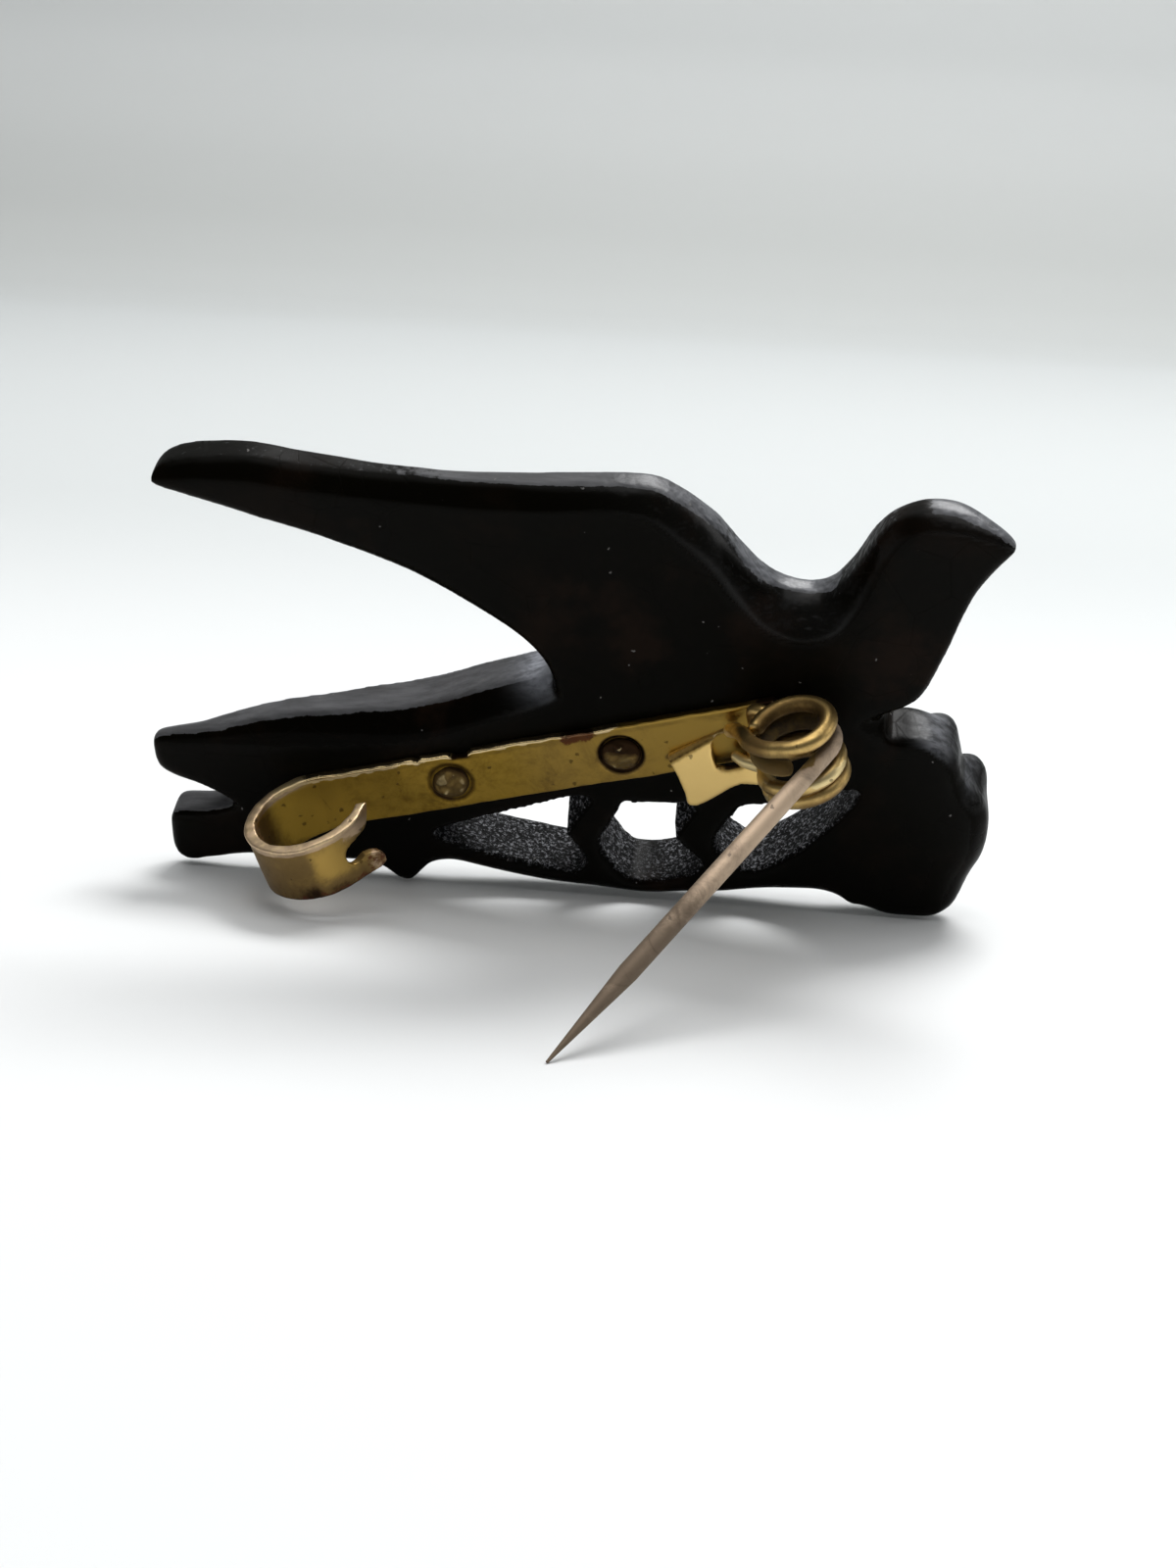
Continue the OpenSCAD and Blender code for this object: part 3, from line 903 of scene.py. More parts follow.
@dataclass
class CarvedBird:
    """The wood: bird, tail, branch and flower, carved from one sawn board.

    Attributes:
        node: The CAD node that it is made from and replaces.
        voxel: The size of the skin's quads.
        swell: How high the slow swell of the carving is.
        swell_size: How long the swell is.
        knife_size: How long the finer knife marks are.
        saw_marks: How high the saw marks are.
        saw_size: How long the saw marks are.
        gap_low: The lower left corner, as a and b, of the area with the pierced gaps.
        gap_high: The upper right corner of that area.
        painted_glints: A row for each painted highlight: its strength, a, width, b and height.
        trims: The places where the carving departs from the blank.
    """

    node: str = "carved_bird"
    voxel: float = 0.19
    swell: float = 0.035
    swell_size: float = 5.0
    knife_size: float = 1.6
    saw_marks: float = 0.03
    saw_size: float = 0.7
    gap_low: FLOAT2 = (-0.5, 1.2)
    gap_high: FLOAT2 = (27.5, 9.0)
    painted_glints: tuple[tuple[float, ...], ...] = (
        (1.0, 7.8, 1.3, 15.9, 1.0), (0.3, 31.7, 0.9, 13.2, 1.4), (0.35, 34.2, 0.6, 10.6, 0.9))
    trims: tuple[Trim, ...] = (
        Trim(-6.5, 11.8, 6.5, 8.2, 5.0, (-0.25, 1.17)),
        Trim(18.5, 25.0, 3.0, 4.0, 4.0, (0.28, 0.30)),
        Trim(34.8, 2.5, 2.5, 2.5, 3.5, (0.30, -0.08)),
        Trim(1.5, 21.5, 9.0, 6.0, 4.0, (-0.05, -0.30)),
        Trim(24.0, 24.4, 3.0, 3.0, 2.5, (-0.02, 0.12)),
        Trim(-14.0, 28.0, 3.0, 2.0, 3.5, (0.24, -0.03), True),
        Trim(32.0, 20.0, 3.0, 3.5, 4.5, (-0.30, 0.06), True),
        Trim(34.8, 11.0, 3.0, 3.0, 3.5, (-0.32, 0.02), True),
    )

    def cover(self) -> bpy.types.Object:
        """Cover a merged copy of the CAD solid with an even skin.

        Returns:
            The covered copy, in the flat frame.
        """
        solid = bpy.data.objects[self.node].data.copy()
        weld(solid, 1e-7)
        write_points(solid, STANCE.flatten(read_points(solid)))
        return remesh(make_object("wood_copy", solid), self.voxel, "wood")

    def masks(self, points: np.ndarray, normals: np.ndarray, edges: np.ndarray
              ) -> dict[str, np.ndarray]:
        """Work out where each finish of the wood lies.

        Args:
            points: The vertex places in the flat frame.
            normals: The vertex normals in the flat frame.
            edges: The mesh's edges.

        Returns:
            A mask for each finish, by name.
        """
        a, b, n = points.T
        up, out = normals[:, 1], normals[:, 2]
        (low_a, low_b), (high_a, high_b) = self.gap_low, self.gap_high
        inside = (between(a, (low_a - 0.5, low_a + 0.5), (high_a - 0.5, high_a + 0.5))
                  * between(b, (low_b, low_b + 0.6), (high_b, high_b + 0.8)))
        flower = ramp(a, 27.5, 29.0) * (1.0 - ramp(b, 16.0, 18.0))
        petal_root = between(a, (26.5, 27.5), (29.4, 30.4)) * (1.0 - ramp(b, 15.0, 16.0))
        crown = hump(a, 28.8, 1.3) * ramp(b, 26.0, 27.0)
        notch = hump(a, 8.0, 1.8) * hump(b, 14.5, 2.2)
        neck = ramp(a, 9.0, 19.0) * ramp(b, 19.0, 21.0)
        polish = ramp(up, 0.2, 0.6) * (neck + 0.35 * flower + 0.8 * notch)
        polish *= (1.0 - 0.9 * crown) * (1.0 - 0.8 * petal_root)
        above = np.maximum(ramp(b, 9.0, 12.0), ramp(-a, 1.5, 3.0) * ramp(b, 2.0, 3.2))
        # top: rubbed wear and painted sheen on the faces that look up. It fades to the left and is
        # left off at the crown and the petal's root, where no sheen falls.
        top = ramp(up, 0.45, 0.75) * (1.0 - ramp(out, 0.35, 0.55)) * above
        top *= 0.35 + 0.65 * np.maximum(ramp(a, -4.0, 9.0), 1.0 - ramp(b, 17.0, 19.0))
        top *= (1.0 - 0.65 * flower) * (1.0 - 0.8 * crown) * (1.0 - 0.8 * petal_root)
        # The glints are painted highlights: on the tail's notch and on two petals.
        painted_glint = sum(share * hump(a, at_a, wide) * hump(b, at_b, high)
                    for share, at_a, wide, at_b, high in self.painted_glints)
        brown = ramp(ripple(points, 14.0, 5), 0.0, 0.8)
        proud = relax(bulge(points, normals, edges, 4), edges, 2)
        return {"back": ramp(out, 0.90, 0.975) * ramp(n, -0.35, -0.1),
                "band": between(out, (0.30, 0.50), (0.90, 0.97)) * ramp(n, -2.6, -2.2),
                "top": top, "polish": polish, "painted_glint": painted_glint * ramp(up, 0.25, 0.6),
                "sawn": inside * (1.0 - ramp(np.abs(out), 0.45, 0.75)) * ramp(n, -4.4, -4.0),
                "edge": ramp(proud, 0.004, 0.03),
                "brown": brown + 0.9 * hump(a, 29.5, 3.5) * hump(b, 18.5, 4.0)}

    def soften(self, points: np.ndarray, edges: np.ndarray, masks: dict[str, np.ndarray]
               ) -> np.ndarray:
        """Round off the carved ridges, the flower's petals most and the saw cuts not at all.

        Args:
            points: The vertex places.
            edges: The mesh's edges.
            masks: The masks by name.

        Returns:
            The new vertex places.
        """
        a, b, n = points.T
        petals = ramp(a, 27.0, 28.2) * (1.0 - ramp(b, 15.2, 16.6))
        ridge = relax(masks["band"], edges, 6) * ramp(n, -1.3, -0.4)
        soft = relax(points, edges, 4)
        for share, rounds in ((petals, 15), (ridge, 14)):
            soft += (relax(soft, edges, rounds) - soft) * share[:, None]
        return points + (soft - points) * (1.0 - masks["sawn"])[:, None]

    def carve(self, points: np.ndarray, normals: np.ndarray, masks: dict[str, np.ndarray]
              ) -> np.ndarray:
        """Give the surface the slight unevenness of hand work.

        Args:
            points: The vertex places.
            normals: The vertex normals.
            masks: The masks by name.

        Returns:
            The new vertex places.
        """
        calm = 1.0 - 0.6 * masks["back"]
        lift = ripple(points, self.swell_size, 1) * self.swell * calm
        lift += ripple(points, self.knife_size, 2) * 0.2 * self.swell * calm
        strokes = ripple(points * (1.0, 1.0, 0.35), self.saw_size, 3, waves=16)
        rough = strokes * self.saw_marks * masks["sawn"]
        moved = points + normals * (lift + rough)[:, None]
        for trim in self.trims:
            moved = moved + trim.lift(points, normals)
        return moved

    def build(self, material: bpy.types.Material) -> bpy.types.Object:
        """Build the wood.

        Args:
            material: The wood's material.

        Returns:
            The finished piece.
        """
        made = self.cover()
        mesh = made.data
        edges = read_edges(mesh)
        points = relax(read_points(mesh), edges, 2)
        write_points(mesh, points)
        masks = self.masks(points, read_normals(mesh), edges)
        points = self.soften(points, edges, masks)
        write_points(mesh, points)
        points = self.carve(points, read_normals(mesh), masks)
        write_masks(mesh, **masks)
        write_points(mesh, STANCE.place(points))
        mesh.materials.clear()
        mesh.materials.append(material)
        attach(made, "brooch")
        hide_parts(self.node)
        return made


@dataclass
class BrassStrip:
    """The sheet brass strip: its bent catch with two prongs, its dimples and its folded tab.

    Attributes:
        node: The CAD node that it replaces.
        thick: The sheet's thickness.
        gap: The gap between the sheet and the wood.
        voxel: The size of the skin's quads.
        up: The upper edge's w.
        down: The lower edge's w.
        right: The right end's u.
        bend_u: The u of the axis round which the catch is rolled.
        bend_n: The n of that axis.
        bend_r: The rolled sheet's radius, to the sheet's middle.
        root: The length from the right end to the root of the prongs.
        flare: How far the lower prong turns away from the loop.
        flare_over: The length over which it turns.
        curl_back: How far it turns back again with each millimetre.
        prong: The length that follows the lower prong's own path.
        rivets: Each rivet's u.
        nicks: A row for each nick in the upper edge: its u, half width and depth.
        dimples: How deep the sheet is dented round each rivet.
        dimple_rims: Each dent's radius.
        belly: How far the lower edge bulges where the loop begins.
        mushroom: How much thicker the upper rim is beaten, and how unevenly, as shares.
        tab_thinner: How much thinner the tab is than the strip.
        tab_crease: The u and w of a point on the tab's crease, and the crease's slope.
        tab_tilt: How far the tab is turned out of the strip.
        tab_w: The w of the line round which the tab turns.
        tab_n: The n of that line.
    """

    node: str = "back_plate"
    thick: float = 0.55
    gap: float = 0.05
    voxel: float = 0.085
    up: float = 2.0
    down: float = -1.85
    right: float = 20.4
    bend_u: float = -8.05
    bend_n: float = 3.8
    bend_r: float = 3.475
    root: float = 42.28
    flare: float = math.radians(18.0)
    flare_over: float = 0.8
    curl_back: float = 0.06
    prong: float = 3.0
    rivets: FLOAT2 = (0.0, 10.6)
    nicks: tuple[FLOAT3, ...] = ((-1.6, 0.2, 0.16), (1.1, 0.6, 0.32))
    dimples: FLOAT2 = (0.12, 0.24)
    dimple_rims: FLOAT2 = (1.6, 1.5)
    belly: float = 0.28
    mushroom: FLOAT2 = (0.22, 0.14)
    tab_thinner: float = 0.07
    tab_crease: FLOAT3 = (13.4, -0.95, 0.28)
    tab_tilt: float = math.radians(-14.0)
    tab_w: float = 0.5
    tab_n: float = 0.45

    @property
    def straight(self) -> float:
        """Return the straight part's length, from the right end to where the loop begins."""
        return self.right - self.bend_u

    def outline(self) -> list[FLOAT2]:
        """Draw the unrolled strip's outline.

        Returns:
            Its corner points: length from the right end, and place across the strip.
        """
        r = self.root
        low = [(0.15, self.down), (r - 8.0, self.down), (r - 5.0, self.down + 0.08), (r, -1.8),
               (r + 1.05, -1.78), (r + 1.65, -1.68), (r + 1.92, -1.48), (r + 1.98, -1.12),
               (r + 1.7, -0.68), (r + 1.2, -0.44), (r + 0.8, -0.42), (r + 0.47, -0.58)]
        key = [(r + 0.2, -0.66), (r - 0.05, -0.6), (r - 0.25, -0.35), (r - 0.33, 0.0),
               (r - 0.28, 0.32), (r - 0.1, 0.58)]
        high = [(r + 0.3, 0.74), (r + 0.9, 0.78), (r + 1.5, 0.8), (r + 1.85, 0.9), (r + 2.15, 1.15),
                (r + 2.6, 1.4), (r + 2.76, 1.62), (r + 2.7, 1.85), (r + 2.4, self.up),
                (r - 8.0, self.up), (0.15, self.up), (0.0, self.up - 0.15), (0.0, self.down + 0.15)]
        return low + key + high

    def bend(self, points: np.ndarray) -> np.ndarray:
        """Bend the unrolled strip into its shape.

        Args:
            points: Rows of length from the right end, width and offset from the sheet's middle.

        Returns:
            Rows of u, w and n.
        """
        s, w, t = points.T
        middle = self.thick / 2.0 + self.gap
        turn = 1.5 * math.pi - np.maximum(s - self.straight, 0.0) / self.bend_r
        on_loop = s > self.straight
        u = np.where(on_loop, self.bend_u + (self.bend_r - t) * np.cos(turn), self.right - s)
        n = np.where(on_loop, self.bend_n + (self.bend_r - t) * np.sin(turn), middle + t)
        steps = np.linspace(0.0, self.prong, 121)
        start = 1.5 * math.pi - (self.root - self.straight) / self.bend_r
        heading = start - math.pi / 2.0 + self.flare * ramp(steps, 0.0, self.flare_over)
        heading = heading - self.curl_back * steps
        along, out = (steps[1] * (np.cumsum(way) - way[0])
                      for way in (np.cos(heading), np.sin(heading)))
        past = np.clip(s - self.root, 0.0, self.prong)
        face = np.interp(past, steps, heading)
        low_u = (self.bend_u + self.bend_r * math.cos(start) + np.interp(past, steps, along)
                 + t * np.sin(face))
        low_n = (self.bend_n + self.bend_r * math.sin(start) + np.interp(past, steps, out)
                 - t * np.cos(face))
        low = ramp(-w, -0.2, 0.35) * (s > self.root)
        return np.stack([u + (low_u - u) * low, w, n + (low_n - n) * low], 1)

    def shape(self, flat: np.ndarray) -> np.ndarray:
        """Wear and beat the unrolled strip: nicks, a mushroomed rim, dimples and dents.

        Args:
            flat: The unrolled places.

        Returns:
            The new places.
        """
        s, w, t = flat.T
        top, bottom = ramp(w, 1.3, 2.0), ramp(-w, 1.2, 1.85)
        w = w + top * (0.035 * ripple_along(s, 3.1, 11) + 0.02 * ripple_along(s, 0.8, 12))
        w = w - bottom * (0.04 * ripple_along(s, 4.0, 13) + 0.012 * ripple_along(s, 0.9, 14))
        for at, wide, deep in self.nicks:
            w = w - deep * hump(self.right - s, at, wide, 4) * ramp(w, 1.5, 1.9)
        spread, uneven = self.mushroom
        rim = ramp(w, 1.55, 1.85) * (spread + uneven * ripple_along(s, 1.7, 15))
        t = t * (1.0 + np.where(s > self.straight - 2.0, rim, rim * ramp(t, 0.0, 0.1) * 0.8))
        w = w - self.belly * between(s, (27.0, 29.5), (32.0, 35.0)) * bottom
        for u, deep, edge in zip(self.rivets, self.dimples, self.dimple_rims):
            far = np.hypot(self.right - s - u, w)
            t = t - deep * (1.0 - ramp(far, 1.2, edge)) * ramp(t, 0.0, 0.2)
        t = t + 0.012 * ripple(flat, 2.4, 16) + 0.02 * ripple(flat, 7.0, 17) * (s < self.straight)
        return np.stack([s, w, t], 1)

    def tab_plate(self) -> bpy.types.Object:
        """Cut the tab with its square hole.

        Returns:
            The tab as a flat plate in its own plane.
        """
        edge = [(13.35, -0.95), (14.4, -0.62), (15.8, -0.2), (17.0, 0.12), (17.6, 0.2),
                (18.15, -0.1), (18.5, -0.5), (18.6, -1.6), (18.6, -3.55), (18.45, -3.68),
                (18.0, -3.55), (17.3, -3.38), (16.7, -3.5), (15.8, -3.85), (15.0, -4.15),
                (14.4, -4.3), (14.0, -4.22), (13.86, -4.0), (13.88, -3.4), (13.7, -2.3)]
        hole = [(16.1, -2.1), (16.0, -1.4), (16.15, -0.5), (16.6, -0.12), (17.6, -0.15),
                (18.0, -0.45), (18.05, -2.0), (17.2, -2.25)]
        return flat_to_mesh(edge, [hole], self.thick - self.tab_thinner, "tab")

    def fold(self, points: np.ndarray) -> np.ndarray:
        """Raise the tab: its root runs down into the strip along a slanting crease.

        Args:
            points: The places in the tab's own plane.

        Returns:
            The places as u, w and n.
        """
        u, w, t = points.T
        at, low, slope = self.tab_crease
        near = ramp(w - (low + (u - at) * slope), -0.35, 0.3)
        t = t - 0.42 * near - 0.05 * ramp(u, 17.6, 18.6) + self.thick / 2.0
        s, c = math.sin(self.tab_tilt), math.cos(self.tab_tilt)
        return np.stack([u, self.tab_w + w * c - t * s, self.tab_n + w * s + t * c], 1)

    def finish(self, made: bpy.types.Object, bend: Callable[[np.ndarray], np.ndarray]) -> None:
        """Smooth a covered plate, write its masks and bend it.

        Args:
            made: The covered plate.
            bend: What turns its flat points into points of the strip's frame.
        """
        mesh = made.data
        edges = read_edges(mesh)
        points = relax(read_points(mesh), edges, 2)
        write_points(mesh, points)
        proud = relax(bulge(points, read_normals(mesh), edges, 5), edges, 2)
        write_points(mesh, bend(points))
        bent = read_points(mesh)
        # The edge mask holds the rubbed, bulging edges and the painted highlight along the strip's
        # upper edge.
        worn_and_highlight = np.maximum(ramp(proud, 0.006, 0.05), self.bare_edge_and_highlight(points))
        write_masks(mesh, edge=worn_and_highlight, stain=self.stain(points, bent), patch=self.patch(points),
                    rust=self.rust(points))
        write_points(mesh, place_strip(bent))

    def stain(self, flat: np.ndarray, bent: np.ndarray) -> np.ndarray:
        """Place the brown stains that the strip shows, with painted shade along the tab's free edge
        and in the slot under its hole, and dirt and painted shade under the coil.

        Args:
            flat: The unrolled places.
            bent: The places as u, w and n.

        Returns:
            The stain and painted shade at each vertex.
        """
        u, w, n = bent.T
        s, _, t = flat.T
        front, straight = t > 0.0, s < self.straight
        loop = ramp(s, self.straight, self.straight + 1.5)
        clean = 0.3 * between(u, (11.5, 14.0), (18.0, 19.0)) * straight
        clean += 0.6 * hump(s, 41.1, 0.7) * hump(w, 0.3, 0.8) + 0.55 * hump(s, 29.5, 2.0) * front
        # coil_end: dirt and painted shade round the coil's end and under the coil, and painted
        # shade in the slot under the tab's hole.
        coil_end = 0.5 * hump(u, 16.8, 0.8) * hump(w, 1.45, 0.32) + 1.0 * ramp(u, 18.6, 19.6)
        coil_end += 1.2 * hump(u, 17.0, 0.8, 4) * hump(w, -1.55, 0.25)
        catch = 0.3 * ramp(s, 42.2, 42.8) + 0.55 * between(s, (34.5, 36.0), (39.6, 40.3))
        catch += 0.45 * hump(s, 33.5, 1.8) * front * (1.0 - ramp(w, 1.2, 1.6))
        catch += 0.75 * hump(s, 41.0, 1.8) * hump(w, -1.5, 0.8) * loop
        catch += 0.45 * ramp(-w, 1.55, 1.9) * loop
        crease = hump(u + 8.1 + 0.25 * (w - 0.3), 0.0, 0.09) * (n < 2.0)
        catch += 0.5 * crease * between(w, (-1.2, -0.2), (0.8, 1.4))
        middle = 1.5 * hump(u, 1.1, 0.6, 4) * hump(w, 1.76, 0.16) * (s < 22.0)
        middle += 0.35 * hump(u, -1.2, 2.2) * hump(w, -1.1, 0.9) * (n < 1.0)
        # tab_shadow_line: a painted shadow on the strip along the tab's free edge.
        tab_shadow_line = hump((w + 0.65) - (u - 13.32) * 0.333, 0.0, 0.2) * straight
        middle += 1.1 * tab_shadow_line * between(u, (12.9, 13.4), (17.4, 18.4))
        for place, dirt in zip(self.rivets, (0.75, 1.1)):
            middle += dirt * hump(np.hypot(u - place, w), 1.28, 0.15) * straight
        return coil_end + catch + middle - clean

    def bare_edge_and_highlight(self, flat: np.ndarray) -> np.ndarray:
        """Mark the strip's upper edge, rubbed bright with a painted highlight, and ragged along its
        border.

        Args:
            flat: The unrolled places.

        Returns:
            How bare, and how brightly painted, each vertex is.
        """
        s, w, _ = flat.T
        border = 1.84 - 0.08 * ripple_along(s, 1.1, 31) - 0.14 * ramp(s, 22.0, 26.0)
        worn_and_highlight = ramp(w - border, -0.04, 0.04) * ramp(s, 8.0, 11.0)
        worn_and_highlight *= 1.0 - 0.55 * ramp(s, 29.0, 32.0)
        nick, wide, _ = self.nicks[1]
        return worn_and_highlight * (1.0 - hump(self.right - s, nick, wide, 4))

    def patch(self, flat: np.ndarray) -> np.ndarray:
        """Place the pinkish skin on the catch's rim and prongs, where the brass wore pale.

        Args:
            flat: The unrolled places.

        Returns:
            The patch at each vertex.
        """
        s, w, _ = flat.T
        past, loop = s - self.root, ramp(s, self.straight - 0.5, self.straight + 2.0)
        return np.maximum.reduce([
            loop * ramp(w, 1.35, 1.75),
            0.55 * ramp(past, 0.2, 1.4) * ramp(-w, 0.2, 0.6),
            ramp(past, -1.5, 1.5) * ramp(w, 0.7, 1.3),
            0.8 * hump(s, 34.8, 1.2),
            0.26 * ramp(s, self.straight + 3.0, self.straight + 6.0),
            0.15 * ramp(self.right - s, 3.0, 7.0)])

    def rust(self, flat: np.ndarray) -> np.ndarray:
        """Place the reddish stain on the upper edge and the brown ones low on the loop.

        Args:
            flat: The unrolled places.

        Returns:
            The rust at each vertex.
        """
        s, w, _ = flat.T
        return np.maximum.reduce([
            0.85 * hump(self.right - s, 8.4, 1.25, 4) * hump(w, 1.75, 0.5),
            0.5 * ramp(-w, 0.9, 1.7) * ramp(s, 36.0, 38.0),
            0.45 * ramp(s - self.root, 0.2, 1.0) * ramp(-w, 0.2, 0.6)])

    def build(self, strip: bpy.types.Material, tab: bpy.types.Material
              ) -> tuple[bpy.types.Object, bpy.types.Object]:
        """Build the strip with its tab.

        Args:
            strip: The strip's material.
            tab: The tab's material: the strip's brass painted lighter, for the light on the tab.

        Returns:
            The finished strip and the finished tab.
        """
        long = remesh(flat_to_mesh(self.outline(), [], self.thick, "strip"), self.voxel,
                      "brass_strip")
        self.finish(long, lambda flat: self.bend(self.shape(flat)))
        long.data.materials.append(strip)
        folded = remesh(self.tab_plate(), self.voxel, "folded_tab")
        self.finish(folded, self.fold)
        write_masks(folded.data, patch=np.zeros(len(folded.data.vertices)))
        folded.data.materials.append(tab)
        for made in (long, folded):
            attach(made, "brooch")
            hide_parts(self.node)
        return long, folded


@dataclass
class Nodes:
    """A Geometry Nodes tree with named inputs, built once and used by several pieces."""

    name: str
    tree: Optional[bpy.types.NodeTree] = None

    def open(self, *inputs: tuple[str, str, object]) -> tuple[Sheet, SOCKETS, SOCKETS]:
        """Start the tree.

        Args:
            inputs: Each input's name, its socket's type and its default.

        Returns:
            The helper, what is given to the tree, and what it gives out.
        """
        sheet, *ends = open_group(self.name, "GeometryNodeTree",
                                  [("Geometry", "Geometry", None), *inputs],
                                  [("Geometry", "Geometry")])
        self.tree = sheet.tree
        return sheet, *ends

    def end(self, sheet: Sheet, geometry: bpy.types.NodeSocket, material: bpy.types.NodeSocket,
            out: SOCKETS) -> None:
        """End the tree in smooth shading, Realize Instances and Set Material.

        Args:
            sheet: The helper on the tree.
            geometry: What has been made.
            material: Its material.
            out: What the tree gives out.
        """
        for kind, inputs in (("SetShadeSmooth", {}), ("RealizeInstances", {}),
                             ("SetMaterial", {"Material": material})):
            geometry = sheet.add("GeometryNode" + kind, {"Geometry": geometry, **inputs}).outputs[0]
        sheet.feed(out[0], geometry)

    def run(self, made: bpy.types.Object, name: str, **values: object) -> bpy.types.Object:
        """Run the tree on an object with inputs set by their sockets' identifiers.

        Args:
            made: The object.
            name: The result's name.
            values: The inputs by name.

        Returns:
            The result as a plain mesh object.
        """
        modifier = made.modifiers.new(self.name, "NODES")
        modifier.node_group = self.tree
        for item in self.tree.interface.items_tree:
            if item.item_type == "SOCKET" and item.in_out == "INPUT" and item.name in values:
                modifier[item.identifier] = values[item.name]
        return settle(made, name)


class WireNodes(Nodes):
    """Sweeps a round wire along a curve, as thick as the curve's own radius."""

    def build(self) -> "WireNodes":
        """Build the tree.

        Returns:
            This helper.
        """
        sheet, given, out = self.open(("Sides", "Int", 28), ("Material", "Material", None))
        circle = sheet.add("GeometryNodeCurvePrimitiveCircle",
                           {"Resolution": given["Sides"], "Radius": 1.0})
        radius = sheet.add("GeometryNodeInputRadius")
        swept = sheet.add("GeometryNodeCurveToMesh", {
            "Curve": given["Geometry"], "Profile Curve": circle.outputs[0],
            "Scale": radius.outputs[0], "Fill Caps": True})
        self.end(sheet, swept.outputs[0], given["Material"], out)
        return self


class HeadNodes(Nodes):
    """Sets a copy of a rivet's head on each point, turned and scaled by the point's numbers."""

    def build(self) -> "HeadNodes":
        """Build the tree.

        Returns:
            This helper.
        """
        sheet, given, out = self.open(("Head", "Object", None), ("Material", "Material", None))
        head = sheet.add("GeometryNodeObjectInfo", {"Object": given["Head"]})
        turn, size = (sheet.add("GeometryNodeInputNamedAttribute", {"Name": name},
                                data_type="FLOAT_VECTOR") for name in ("turn", "size"))
        placed = sheet.add("GeometryNodeInstanceOnPoints", {
            "Points": given["Geometry"], "Instance": head.outputs["Geometry"],
            "Rotation": turn.outputs[0], "Scale": size.outputs[0]})
        self.end(sheet, placed.outputs[0], given["Material"], out)
        return self


